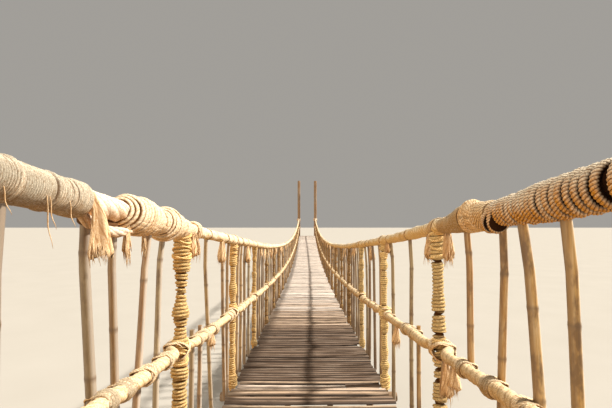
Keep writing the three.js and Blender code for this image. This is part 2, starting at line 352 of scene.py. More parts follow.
def skin(around, rows, row_points):
    """A closed skin. row_points gives a row's points round it, as (place, along, across, wear)."""
    bm = bmesh.new()
    bmesh.ops.create_grid(bm, x_segments=around, y_segments=rows, size=0.5)
    uv = bm.loops.layers.uv.new("rope")
    # This attribute carries painted shade in grooves, gaps, folds and under turns, as well as real wear;
    # the looks darken with it.
    wear = bm.verts.layers.float.new("wear")
    table = [row_points(row) for row in range(rows + 1)]
    seam = []
    texture = {}
    for vert in bm.verts:
        column = round((vert.co.x + 0.5) * around)
        row = round((vert.co.y + 0.5) * rows)
        place, along, across, worn_and_shaded = table[row][column]
        vert.co = place
        vert[wear] = worn_and_shaded
        texture[vert] = (along, across)
        if column in (0, around):
            seam.append(vert)
    for face in bm.faces:
        for loop in face.loops:
            loop[uv].uv = texture[loop.vert]
    bmesh.ops.remove_doubles(bm, verts=seam, dist=1e-5)
    bmesh.ops.holes_fill(bm, edges=[edge for edge in bm.edges if edge.is_boundary])
    bmesh.ops.recalc_face_normals(bm, faces=bm.faces)
    return bm


# The two directions of a section, for something that runs along X, Y or Z
SECTIONS = {
    "x": (Vector((0, 1, 0)), Vector((0, 0, 1))),
    "y": (Vector((1, 0, 0)), Vector((0, 0, 1))),
    "z": (Vector((1, 0, 0)), Vector((0, 1, 0))),
}


def outward(axis, angle):
    first, second = SECTIONS[axis]
    return first * math.cos(angle) + second * math.sin(angle)


def round_bar(axis, places, around, centre_at, radius_at, wear_and_shade_at=None):
    """A bar with a plain round skin, such as a stick, a pole or a log, along an axis."""
    def row_points(row):
        here = places[row]
        centre = centre_at(here)
        points = []
        for column in range(around + 1):
            angle = TAU * (column % around) / around
            place = centre + outward(axis, angle) * radius_at(here, angle)
            worn_and_shaded = wear_and_shade_at(here, angle) if wear_and_shade_at else 1.0
            points.append((place, here, column / around, worn_and_shaded))
        return points
    return skin(around, len(places) - 1, row_points)


def twisted_rope(axis, places, around, centre_at, radius_at, lay, strands=3, lobe=0.13):
    """A laid rope: its strands show as ridges that wind round it, once in each length of lay."""
    def row_points(row):
        here = places[row]
        centre = centre_at(here)
        radius = radius_at(here)
        points = []
        for column in range(around + 1):
            angle = TAU * (column % around) / around
            strand = -math.cos(strands * (angle + TAU * here / lay))
            place = centre + outward(axis, angle) * (radius * (1 + lobe * (strand - 1)))
            # Painted shade: the valleys between strands come out darker.
            points.append((place, here, column / around, 1 - 3.1 * lobe * (1 - strand)))
        return points
    return skin(around, len(places) - 1, row_points)


# How far the rows across one turn of cord stand out from its middle, and how bright they are painted: the
# low rows carry painted shade, as in a groove
TURN_PROFILES = {
    2: [(0.45, 0.30), (0.97, 1.0)],
    4: [(0.48, 0.45), (0.86, 0.90), (1.0, 1.0), (0.86, 0.90)],
}


def wrapping(axis, start, end, pitch, cord, rows_a_turn, around, centre_at, radius_at,
             gap_at=None, tilt_at=None):
    """Turns of cord wound round something, as one skin whose grooves run in a helix.

    The radius is that of the cord's middle, and it and the gap are read at a place and an angle. A
    gap of 0 to 1 deepens the groove and darkens it with painted shade, and from 1 to 2 the turn itself
    sinks away and is painted dark as well. A tilt moves the turns along their axis at one angle and
    back at the angle opposite.
    """
    turns = max(3, round(abs(end - start) / pitch))
    profile = TURN_PROFILES[rows_a_turn]

    def row_points(row):
        rise, worn_and_shaded = profile[row % rows_a_turn]
        points = []
        for column in range(around + 1):
            turn = row / rows_a_turn + column / around
            here = start + (end - start) * turn / turns
            angle = TAU * (column % around) / around
            middle = radius_at(here, angle)
            gap = gap_at(here, angle) if gap_at else 0.0
            opening = min(gap, 1.0) if row % rows_a_turn == 0 else 0.0
            sunk = min(max(gap - 1.0, 0.0), 1.0)
            radius = middle + cord / 2 * (rise - 0.45 * opening - 1.2 * sunk)
            moved = here + tilt_at(here) * math.cos(angle - 1.0) if tilt_at else here
            place = centre_at(moved) + outward(axis, angle) * radius
            across = 0.5 * (row % rows_a_turn) / rows_a_turn
            points.append((place, turn * TAU * middle, across, worn_and_shaded * (1 - opening) * (1 - sunk)))
        return points
    return skin(around, (turns - 1) * rows_a_turn, row_points)


def wound_cord(turns, steps_a_turn, around, path_at, cord, lay=None, tuck=6.0, shade=(-0.4, 0.6)):
    """A real rope laid along a path that winds round something, with its ends tucked in.

    path_at gives, for a number of turns, the middle of the rope and the way outwards from there.
    With a lay, its three strands stand out as ridges that wind round it once in that length. Tuck is
    how fast an end comes out from under, and shade is from where to where the cord's sides turn from
    painted shade to their own colour, as the cosine of the angle from outwards. The valleys between
    strands are painted darker too.
    """
    rows = max(4, round(turns * steps_a_turn))
    path = [path_at(turns * row / rows) for row in range(rows + 1)]
    metres = [0.0]
    for (before, _), (after, _) in zip(path, path[1:]):
        metres.append(metres[-1] + (after - before).length)

    def row_points(row):
        middle, out = path[row]
        along = path[min(row + 1, rows)][0] - path[max(row - 1, 0)][0]
        sideways = out.cross(along).normalized()
        free = min(1.0, tuck * min(row, rows - row) / steps_a_turn)
        middle = middle - out * (cord * (1 - free))
        points = []
        for column in range(around + 1):
            section = TAU * (column % around) / around
            strand = 0.5 - 0.5 * math.cos(3 * (section + TAU * metres[row] / lay)) if lay else 1.0
            radius = cord / 2 * (0.3 + 0.7 * free) * (0.80 + 0.20 * strand)
            offset = out * (radius * math.cos(section)) + sideways * (radius * math.sin(section))
            worn_and_shaded = smooth(*shade, math.cos(section)) * (0.40 + 0.60 * strand)
            points.append((middle + offset, metres[row], column / around, worn_and_shaded))
        return points
    return skin(around, rows, row_points)


def coil(axis, places, steps_a_turn, around, centre_at, ring_at, cord, lay=None, start_angle=0.0,
         shade=(-0.4, 0.6)):
    """A rope wound in a helix. The places are those of its turns along the axis, and the ring is
    the radius of the rope's middle."""
    turns = len(places) - 1

    def path_at(turn):
        whole = min(int(turn), turns - 1)
        here = places[whole] + (places[whole + 1] - places[whole]) * (turn - whole)
        angle = start_angle + TAU * turn
        out = outward(axis, angle)
        return centre_at(here, angle) + out * ring_at(here, angle), out
    return wound_cord(turns, steps_a_turn, around, path_at, cord, lay, 1.6, shade)


def lashing(middle, half_gap, inner_radius, outer_radius, way, turns, steps_a_turn, around, cord):
    """A few turns that cross a rope and an upright slantwise, and hug them both.

    The rope runs along Y at X minus half a gap from the middle and the upright stands at plus half.
    """
    def path_at(turn):
        angle = TAU * turn + 0.8
        out = outward("y", angle)
        rope_reach = -half_gap * out.x + inner_radius
        upright_reach = half_gap * out.x + outer_radius
        on_rope = smooth(-0.006, 0.006, rope_reach - upright_reach)
        centre_x = half_gap * (1 - 2 * on_rope)
        radius = outer_radius + (inner_radius - outer_radius) * on_rope + 0.35 * cord
        slant = way * (outer_radius + 0.4 * cord) * math.sin(angle)
        beside = (turn - turns / 2) * 0.85 * cord
        place = middle + Vector((centre_x, slant + beside, 0)) + out * radius
        return place, out
    return wound_cord(turns, steps_a_turn, around, path_at, cord)


def cord_loop(half_width, half_height, cord, steps, around):
    """A closed oval loop of cord in the plane of X and Z, round the origin."""
    bm = bmesh.new()
    wear = bm.verts.layers.float.new("wear")
    uv = bm.loops.layers.uv.new("rope")
    bmesh.ops.create_circle(bm, segments=around, radius=cord / 2)
    bmesh.ops.translate(bm, verts=bm.verts, vec=(1.0, 0, 0))
    bmesh.ops.spin(bm, geom=bm.edges[:], cent=(0, 0, 0), axis=(0, 1, 0), dvec=(0, 0, 0),
                   angle=TAU, steps=steps, use_merge=True)
    bmesh.ops.recalc_face_normals(bm, faces=bm.faces)
    for face in bm.faces:
        for loop in face.loops:
            co = loop.vert.co
            beyond = math.hypot(co.x, co.z) - 1.0
            round_it = math.atan2(co.z, co.x) / TAU
            loop[uv].uv = (round_it * TAU * half_width, math.atan2(co.y, beyond) / TAU)
    for vert in bm.verts:
        flat = math.hypot(vert.co.x, vert.co.z)
        beyond = flat - 1.0
        share_x, share_z = vert.co.x / flat, vert.co.z / flat
        vert.co.x = share_x * (half_width + beyond)
        vert.co.z = share_z * (half_height + beyond)
        # Painted shade: the loop's inner side, where it lies on what it binds, is darker.
        vert[wear] = 0.35 + 0.65 * smooth(-cord / 2, cord / 4, beyond)
    return bm


def always(value):
    """A function of a place and an angle that gives one value everywhere."""
    return lambda here, angle: value


def painted_shade_core(pieces, start, end, step, around, centre_at, radius_at, wear=0.0):
    """A bar painted dark inside the turns of a rope: painted shade for what shows between them."""
    places = stations(start, end, step)
    pieces.add(round_bar("y", places, around, centre_at, radius_at, always(wear)))


def add_loop(pieces, middle, size, cord, steps, around, tilt, turn):
    """A round loop of cord, tilted about X and turned about Z."""
    loop = cord_loop(size, size, cord, steps, around)
    place = Matrix.Translation(middle) @ Matrix.Rotation(tilt, 4, "X")
    pieces.add(loop, 0.5, place @ Matrix.Rotation(turn, 4, "Z"))


# Shader maths

class Wire:
    """A socket of a material that counts like a number."""

    def __init__(self, look, socket):
        self.look = look
        self.socket = socket

    def math(self, operation, *others, clamp=False):
        return self.look.node("ShaderNodeMath", {"operation": operation, "use_clamp": clamp},
                              [self, *others])

    def __add__(self, other):
        return self.math("ADD", other)

    __radd__ = __add__

    def __sub__(self, other):
        return self.math("SUBTRACT", other)

    def __rsub__(self, other):
        return self.look.node("ShaderNodeMath", {"operation": "SUBTRACT"}, [other, self])

    def __mul__(self, other):
        return self.math("MULTIPLY", other)

    __rmul__ = __mul__

    def clamped(self):
        return self.math("ADD", 0.0, clamp=True)

    def between(self, low, high):
        """0 below low and 1 above high."""
        return ((self - low) * (1 / (high - low))).clamped()

    def ridges(self):
        """One round ridge for each whole number, 0 in the valleys and 1 on the crowns."""
        return (self * math.pi).math("SINE").math("ABSOLUTE")


class Look:
    """A material: a principled shader, and the nodes that feed it."""

    def __init__(self, name, **constants):
        self.material = bpy.data.materials.new(name)
        self.material.use_nodes = True
        self.tree = self.material.node_tree
        self.tree.nodes.clear()
        self.shader = self.tree.nodes.new("ShaderNodeBsdfPrincipled")
        output = self.tree.nodes.new("ShaderNodeOutputMaterial")
        self.tree.links.new(self.shader.outputs[0], output.inputs["Surface"])
        for socket, value in constants.items():
            self.shader.inputs[socket.replace("_", " ")].default_value = value

    def node(self, kind, settings=None, inputs=None, output=0):
        """Adds any node: its settings first, and then the values or wires of its sockets."""
        made = self.tree.nodes.new(kind)
        for name, value in (settings or {}).items():
            if name == "stops":
                self.set_stops(made.color_ramp, value)
            else:
                setattr(made, name, value)
        pairs = inputs.items() if isinstance(inputs, dict) else enumerate(inputs or [])
        for key, value in pairs:
            if isinstance(value, Wire):
                self.tree.links.new(value.socket, made.inputs[key])
            else:
                made.inputs[key].default_value = value
        return Wire(self, made.outputs[output])

    @staticmethod
    def set_stops(ramp, stops):
        while len(ramp.elements) < len(stops):
            ramp.elements.new(0.5)
        for element, (place, colour) in zip(ramp.elements, stops):
            element.position = place
            element.color = (*colour, 1.0)

    def feed(self, socket, wire):
        self.tree.links.new(wire.socket, self.shader.inputs[socket])

    def place(self):
        return self.node("ShaderNodeTexCoord", output="Object")

    def attribute(self, name):
        return self.node("ShaderNodeAttribute", {"attribute_name": name}, output="Fac")

    def split(self, vector):
        parts = self.node("ShaderNodeSeparateXYZ", inputs=[vector])
        return [Wire(self, socket) for socket in parts.socket.node.outputs]

    def joined(self, x, y, z=0.0):
        return self.node("ShaderNodeCombineXYZ", inputs=[x, y, z])

    def stretched(self, vector, amounts):
        return self.node("ShaderNodeVectorMath", {"operation": "MULTIPLY"}, [vector, amounts])

    def cloud(self, vector, scale, detail=3.0, roughness=0.55):
        return self.node("ShaderNodeTexNoise", inputs={
            "Vector": vector, "Scale": scale, "Detail": detail, "Roughness": roughness})

    def ramp(self, value, stops):
        return self.node("ShaderNodeValToRGB", {"stops": stops}, [value])

    def mix(self, share, low, high):
        low, high = [c if isinstance(c, Wire) else (*c, 1.0) for c in (low, high)]
        return self.node("ShaderNodeMix", {"data_type": "RGBA"}, {0: share, 6: low, 7: high}, output=2)

    def sunny(self, across, up):
        """1 where the surface faces the sunny side, with so much of X and Z in it, and 0 behind."""
        x, _, z = self.split(self.node("ShaderNodeNewGeometry", output="Normal"))
        return (x * across + z * up) * 0.5 + 0.5

    def emboss(self, height, depth, strength=1.0):
        self.feed("Normal", self.node("ShaderNodeBump", inputs={
            "Strength": strength, "Distance": depth, "Height": height}))


def rope_look(name, pale, warm, deep, strands, lay, fibre_depth=0.0012, bleaching_and_sunlight=0.0, bed=0.30,
              grooves=0.85):
    """Natural fibre rope: twisted strands of coarse fibres, paled by weather and painted paler on top and
    on the sunny side, warm underneath, with painted shade in its grooves.
    """
    look = Look(name, Roughness=0.9, Specular_IOR_Level=0.15)
    along, across, _ = look.split(look.node("ShaderNodeUVMap", {"uv_map": "rope"}))
    twist = across * strands + along * (strands / lay)
    strand = twist.ridges()
    fibres = look.cloud(look.joined(along * 70.0, twist * 6.0), 1.0, 4.0, 0.7)
    patches = look.cloud(look.place(), 16.0, 3.0)
    lengths = look.cloud(look.joined(along * 5.0, 0.0), 1.0, 2.0)
    age = patches * 1.1 + lengths * 0.9 + fibres * 0.6
    # Painted light: paler where the surface faces the sun and the sky, as well as where the fibres have
    # aged pale.
    paleness_and_painted_light = (look.sunny(0.45, 0.85) * 1.7 + age + (bleaching_and_sunlight - 1.7)).between(0.0, 0.9)
    body = look.mix(paleness_and_painted_light, warm, pale)
    body = look.mix(lengths.between(0.42, 0.28) * 0.6, body, deep)
    speckle = look.cloud(look.place(), 210.0, 2.0, 0.7)
    body = look.mix(speckle.between(0.48, 0.34) * 0.55, body, deep)
    body = look.mix(speckle.between(0.54, 0.68) * 0.4, body, (1.0, 0.92, 0.78))
    body = look.mix(fibres.between(0.50, 0.30) * 0.8, body, deep)
    # Painted shade in the valleys between strands.
    body = look.mix(strand.between(0.42, 0.05) * grooves, body, tuple(0.8 * c for c in deep))
    # The groove colour is painted shade, which the wear and shade attribute brings in.
    groove = tuple(bed * c for c in deep)
    wear = look.attribute("wear")
    body = look.mix(wear.between(0.10, 0.80), groove, body)
    look.feed("Base Color", body)
    look.feed("Roughness", 0.98 - 0.2 * fibres)
    look.emboss(strand * 0.7 + fibres * 0.6 + speckle * 0.6, fibre_depth)
    return look.material


def stick_look():
    """Dry cane and peeled sticks: long streaks, dark blotches and nodes, each stick its own tone, with
    painted shade on the side away from the sun and a painted highlight on the side that faces it.
    """
    look = Look("dry_cane", Roughness=0.45, Specular_IOR_Level=0.7)
    place = look.place()
    tone = look.attribute("tone")
    streaks = look.cloud(look.stretched(place, (95.0, 95.0, 4.0)), 1.0, 4.0, 0.65)
    patches = look.cloud(look.stretched(place, (16.0, 16.0, 7.0)), 1.0, 4.0, 0.65)
    body = look.ramp(tone, [
        (0.0, (0.36, 0.16, 0.04)), (0.3, (0.50, 0.27, 0.07)), (0.55, (0.64, 0.40, 0.14)),
        (0.8, (0.40, 0.30, 0.15)), (1.0, (0.58, 0.43, 0.22))])
    body = look.mix(streaks.between(0.46, 0.72) * 0.6, body, (0.80, 0.62, 0.38))
    body = look.mix(streaks.between(0.47, 0.30) * 0.75, body, (0.22, 0.10, 0.03))
    body = look.mix(patches.between(0.53, 0.64) * 0.8, body, (0.14, 0.07, 0.025))
    # Painted light: shade on the side away from the sun and a pale highlight strip on the side that faces
    # it.
    sunny = look.sunny(1.0, 0.0)
    body = look.mix(sunny.between(0.40, 0.08) * 0.6, body, (0.17, 0.09, 0.035))
    body = look.mix(sunny.between(0.72, 0.94) * 0.7, body, (0.94, 0.88, 0.78))
    wear = look.attribute("wear")
    # Darker at the nodes, with dirt, and with painted shade towards the feet and along the bridge.
    body = look.mix(wear.between(0.1, 0.9), (0.14, 0.08, 0.04), body)
    look.feed("Base Color", body)
    look.feed("Roughness", 0.62 - 0.32 * streaks)
    look.emboss(streaks, 0.0008)
    return look.material


def slat_look():
    """Weathered slats: grain along them, sides painted dark as the shade in the gaps, and a tone from
    dark brown to pale and pinkish, part of whose darkness is painted shade.
    """
    look = Look("weathered_slats", Roughness=0.8, Specular_IOR_Level=0.25)
    place = look.place()
    tone = look.attribute("tone")
    grain = look.cloud(look.stretched(place, (3.5, 150.0, 60.0)), 1.0, 5.0, 0.66)
    patches = look.cloud(look.stretched(place, (5.0, 9.0, 5.0)), 1.0, 4.0, 0.65)
    body = look.ramp(tone, [
        (0.0, (0.095, 0.058, 0.037)), (0.3, (0.23, 0.15, 0.10)), (0.55, (0.50, 0.355, 0.24)),
        (0.8, (0.74, 0.58, 0.46)), (1.0, (1.0, 0.90, 0.82))])
    stained = 1.0 - 0.6 * tone
    body = look.mix(grain.between(0.48, 0.72) * 0.6, body, (0.84, 0.68, 0.54))
    body = look.mix(patches.between(0.50, 0.68) * stained, body, (0.14, 0.090, 0.058))
    body = look.mix(grain.between(0.42, 0.30) * stained, body, (0.06, 0.036, 0.022))
    wear = look.attribute("wear")
    # Painted shade: the slats' sides go nearly black, for the shade in the gaps between them.
    body = look.mix(wear.between(0.1, 0.9), (0.03, 0.019, 0.013), body)
    look.feed("Base Color", body)
    look.feed("Roughness", 0.92 - 0.25 * grain)
    look.emboss(grain, 0.0018)
    return look.material


def timber_look(name, axis, warm):
    """Round timber with its bark off: long grain, drying cracks and knots along one axis."""
    look = Look(name, Roughness=0.8, Specular_IOR_Level=0.25)
    place = look.place()
    fine, long = 42.0, 1.6
    amounts = (long, fine, fine) if axis == "x" else (fine, fine, long)
    grain = look.cloud(look.stretched(place, amounts), 1.0, 5.0, 0.6)
    patches = look.cloud(place, 2.6, 3.0)
    dark, bright = [tuple(min(1.0, share * c) for c in warm) for share in (0.38, 1.55)]
    body = look.ramp(grain, [(0.25, dark), (0.5, warm), (0.8, bright)])
    body = look.mix(patches.between(0.45, 0.75) * 0.5, body, (0.30, 0.25, 0.19))
    cracks = look.cloud(look.stretched(place, tuple(0.5 * a for a in amounts)), 1.0, 2.0, 0.4)
    cracks = cracks.between(0.33, 0.27)
    body = look.mix(cracks * 0.85, body, (0.045, 0.03, 0.02))
    wear = look.attribute("wear")
    body = look.mix(wear.between(0.0, 0.9), (0.07, 0.045, 0.03), body)
    look.feed("Base Color", body)
    look.feed("Roughness", 0.9 - 0.2 * grain)
    look.emboss(grain - cracks, 0.004)
    return look.material


ROPE = rope_look("sisal_rope", (0.92, 0.76, 0.52), (0.72, 0.41, 0.15), (0.36, 0.155, 0.045), 3, 0.030,
                 bed=0.4)
JOINT_ROPE = rope_look("joint_rope", (0.87, 0.74, 0.53), (0.76, 0.44, 0.18), (0.42, 0.18, 0.05),
                       3, 0.045, bed=0.35, grooves=0.3)
# The nearer posts' rope: the right side's is painted paler, as painted sunlight, and the left side's a
# little darker.
POST_ROPES = {side: rope_look(f"{name}_post_rope", (0.97, 0.70, 0.31), (0.80, 0.40, 0.085),
                              (0.28, 0.10, 0.018), 3, 0.026, bleaching_and_sunlight=-0.05 if side < 0 else 0.80)
              for side, name in SIDES.items()}
# The far posts' rope is painted darker, as painted shade along the far part of the bridge.
FAR_POST_ROPE_IN_SHADE = rope_look("far_post_rope", (0.56, 0.36, 0.15), (0.36, 0.18, 0.05), (0.17, 0.065, 0.016),
                          3, 0.026)
COARSE_ROPE = rope_look("coarse_sisal_rope", (0.95, 0.86, 0.69), (0.72, 0.31, 0.035),
                        (0.26, 0.075, 0.008), 3, COARSE_LAY, bleaching_and_sunlight=0.22, bed=0.10)
NECK_ROPE = rope_look("neck_fibre", (0.90, 0.78, 0.62), (0.72, 0.43, 0.21), (0.38, 0.17, 0.06),
                      5, NECK_LAY, 0.0016, bleaching_and_sunlight=-0.10, grooves=0.4)
WHIPPING = rope_look("weathered_whipping", (0.80, 0.71, 0.55), (0.58, 0.34, 0.15),
                     (0.34, 0.18, 0.08), 2, 0.014, 0.0006, bleaching_and_sunlight=0.15, bed=0.5)
RAIL_ROPE = rope_look("handrail_fibre", (0.97, 0.85, 0.61), (0.78, 0.45, 0.13),
                      (0.38, 0.18, 0.05), 9, 0.30, 0.0016, bleaching_and_sunlight=0.1)
MID_ROPE = rope_look("mid_rope_fibre", (0.84, 0.66, 0.40), (0.62, 0.36, 0.13),
                     (0.32, 0.14, 0.04), 3, MID_ROPE_LAY, 0.0018, grooves=0.35)
FRAY = rope_look("frayed_fibre", (0.93, 0.70, 0.43), (0.72, 0.42, 0.18), (0.46, 0.22, 0.08),
                 6, 0.4, 0.0003, bed=0.6)
CANE = stick_look()
SLATS = slat_look()
PORTAL_TIMBER = timber_look("portal_timber", "z", (0.26, 0.155, 0.085))
LOG_TIMBER = timber_look("log_timber", "x", (0.25, 0.165, 0.10))


# The view, the light and the ground

def make_camera():
    data = bpy.data.cameras.new("eye")
    data.lens = LENS_MM
    data.sensor_width = FILM_WIDTH_MM
    camera = bpy.data.objects.new("eye", data)
    camera.location = (EYE_X, EYE_Y, EYE_Z)
    camera.rotation_euler = (math.pi / 2 + EYE_TILT_UP, 0, EYE_TURN_LEFT)
    bpy.context.scene.collection.objects.link(camera)
    bpy.context.scene.camera = camera
    bpy.context.scene.view_settings.view_transform = "Standard"


def make_light():
    add_sun("soft_sun", SUN_TRAVELS, SUN_STRENGTH, SUN_COLOUR, SUN_SPREAD_DEGREES)
    add_sun("soft_fill", FILL_TRAVELS, FILL_STRENGTH, FILL_COLOUR, FILL_SPREAD_DEGREES)
    world = bpy.data.worlds.new("pale_studio")
    world.use_nodes = True
    background = world.node_tree.nodes["Background"]
    background.inputs["Color"].default_value = (*SKY_COLOUR, 1.0)
    background.inputs["Strength"].default_value = SKY_STRENGTH
    bpy.context.scene.world = world


def add_sun(name, travels, strength, colour, spread_degrees):
    data = bpy.data.lights.new(name, "SUN")
    data.energy = strength
    data.color = colour
    data.angle = math.radians(spread_degrees)
    sun = bpy.data.objects.new(name, data)
    sun.rotation_euler = Vector(travels).to_track_quat("-Z", "Y").to_euler()
    bpy.context.scene.collection.objects.link(sun)


def make_floor():
    look = Look("pale_floor", Roughness=0.95, Specular_IOR_Level=0.1)
    speckle = look.cloud(look.place(), 0.8, 2.0)
    look.feed("Base Color", look.mix(speckle, (0.42, 0.395, 0.355), (0.46, 0.435, 0.395)))
    bm = bmesh.new()
    bmesh.ops.create_grid(bm, x_segments=4, y_segments=4, size=FLOOR_REACH)
    mesh = bpy.data.meshes.new("floor")
    bm.to_mesh(mesh)
    bm.free()
    floor = bpy.data.objects.new("floor", mesh)
    floor.data.materials.append(look.material)
    bpy.context.scene.collection.objects.link(floor)


# Handrails

def rail_centre(side):
    """The axis of a handrail, with the small bends of an old rope."""
    def centre(y):
        free = smooth(0.0, 0.8, ROPE_END - abs(y))
        across = drift(0.9 * y, side, 0.010) * free
        height = drift(0.8 * y, side + 5, 0.008) * free
        return Vector((side * FENCE_X + across, y, handrail_z(y) + height))
    return centre


def rail_radius(side):
    """How thick the bare rail is: it swells and thins, and is lumpy at the bay lines."""
    coiled = ahead(SLACK_TURNS[-1]) if side > 0 else -SPAN

    def radius(y):
        lump = 0.006 * hump(0.0, 0.12, from_bay_line(y))
        inside = 0.012 * (1 - smooth(coiled, coiled + 0.03, y))
        uneven = drift(1.9 * y, side + 11, 0.004) + drift(8.0 * y, side + 13, 0.0028)
        return RAIL_RADIUS + uneven + lump - inside
    return radius


def left_neck():
    """Loose strands between the whipping and the joint, and a slack one below, with a bar painted dark
    between them as the shade in the hole there.
    """
    rail = rail_centre(-1)
    start, end = ahead(WHIPPING_ENDS - 0.02), ahead(LEFT_JOINT[0] + 0.12)
    places = stations(start, end, 0.006)

    def slack_at(y):
        bow = math.sin(math.pi * (y - start) / (end - start))
        out = smooth(start, start + 0.06, y)
        return rail(y) + Vector((0.012 * out, 0, -0.012 - 0.026 * out - 0.028 * bow))

    neck = Assembly()
    neck.add(twisted_rope("y", places, 25, rail, lambda y: 0.0355, NECK_LAY, 5, 0.05))
    neck.add(twisted_rope("y", places, 15, slack_at, lambda y: 0.0165, NECK_LAY, 5, 0.09))
    painted_shade_core(neck, start + 0.05, end, 0.02, 12, lambda y: rail(y) - Vector((0.004, 0, 0.044)),
               always(0.014))
    neck.finish("left_handrail_neck", NECK_ROPE, "rope", ["left_handrail_rope"])


def handrail_core(side):
    """The bundle of fibres that runs from portal to portal inside all the wrapping."""
    thick = rail_radius(side)
    centre = rail_centre(side)

    def radius_at(y, angle):
        bulge = drift(14.0 * y + 2.0 * math.cos(angle), side + 17, 0.0024)
        return thick(y) + bulge + 0.0014 * math.cos(5 * angle + 26.0 * y)

    core = Assembly()
    places = rope_stations(-ROPE_END, ROPE_END, 0.016, 0.055)
    core.add(round_bar("y", places, 18, centre, radius_at))
    core.finish(f"{SIDES[side]}_handrail_core", RAIL_ROPE, "rope", [f"{SIDES[side]}_handrail_rope"])


def left_whipping():
    """Fine cord, laid tight, over the first stretch of the left handrail."""
    centre = rail_centre(-1)
    end = ahead(WHIPPING_ENDS)

    def radius_at(y, angle):
        ridges = 0.0035 * hump(0.740, 0.012, from_eye(y)) + 0.0030 * hump(0.866, 0.010, from_eye(y))
        collar = 0.0022 * smooth(0.93, 0.95, from_eye(y))
        rounded = 0.010 * smooth(end - 0.010, end, y)
        uneven = drift(5 * y, 21, 0.0022) + drift(60 * y + 2 * math.cos(angle), 24, 0.0009)
        return WHIPPING_RADIUS + uneven + ridges + collar - rounded

    def gap_at(y, angle):
        open_there = 0.65 + 0.35 * math.cos(angle - 0.9) + drift(2.2 * math.cos(angle) + 9 * y, 25, 0.5)
        seams = [deep * open_there * hump(place, 0.008, from_eye(y)) for place, deep in WHIPPING_SEAMS]
        return max([0.25 + drift(95 * y, 22, 1.1), *seams])

    whipping = Assembly()
    seen_from = ahead(0.6)
    whipping.add(wrapping("y", -ROPE_END + 0.02, seen_from, BACK_WHIPPING_CORD, BACK_WHIPPING_CORD, 2, 12,
                          centre, lambda y, angle: WHIPPING_RADIUS + drift(5 * y, 21, 0.0022)))
    whipping.add(wrapping("y", seen_from, end, WHIPPING_CORD, WHIPPING_CORD, 4, 28, centre, radius_at,
                          gap_at, lambda y: 0.008 + drift(2.5 * y, 23, 0.010)))
    whipping.finish("left_handrail_whipping", WHIPPING, "rope", ["left_handrail_rope"])


def left_joint():
    """Two swollen bindings of slanted turns, where the whipped rail is tied to the thin one."""
    rail = rail_centre(-1)
    start, waist, end = [ahead(place) for place in LEFT_JOINT]
    rng = random.Random(31)
    joint = Assembly()
    places = [start]
    while places[-1] < end:
        places.append(places[-1] + rng.uniform(0.0170, 0.0260))

    def slant_at(y):
        return read_off([(start, 0.014), (start + 0.1, 0.024), (waist, 0.018), (end, 0.014)], y)

    def centre_at(y, angle):
        return rail(y + slant_at(y) * math.cos(angle - 0.9))

    def ring_at(y, angle):
        swollen = read_off([(start, 0.034), (start + 0.08, 0.055), (start + 0.14, 0.061),
                            (start + 0.20, 0.056), (start + 0.27, 0.046), (waist, 0.040),
                            (waist + 0.07, 0.057), (waist + 0.15, 0.052), (waist + 0.25, 0.040),
                            (end, 0.028)], y)
        uneven = drift(22 * y + 2.5 * math.cos(angle), 33, 0.004)
        return swollen + uneven - 0.004 + drift(40 * y + 1.2 * math.cos(angle), 34, 0.0050)

    # The turns' sides carry broad painted shade, and a core painted dark inside stands for the shade
    # between the turns.
    joint.add(coil("y", places, 40, 14, centre_at, ring_at, JOINT_CORD, shade=(0.15, 0.98)))
    painted_shade_core(joint, start, end, 0.03, 14, rail, lambda y, angle: ring_at(y, angle) - 0.008, 0.05)
    for _ in range(10):
        y = rng.uniform(start + 0.06, end - 0.12)
        size = ring_at(y, 1.5) + rng.uniform(0.006, 0.010)
        add_loop(joint, rail(y), size, rng.uniform(0.010, 0.014), 32, 8,
                 rng.uniform(-0.5, 0.25), rng.uniform(-0.35, 0.35))
    # A lump of turns just past the first post
    for i in range(4):
        y = end + 0.03 + 0.013 * i
        size = 0.038 + 0.004 * hump(1.5, 2.0, i)
        add_loop(joint, rail(y), size, 0.014, 26, 8, 0.0, rng.uniform(-0.4, 0.4))
    joint.finish("left_handrail_joint", JOINT_ROPE, "rope", ["left_handrail_rope"])


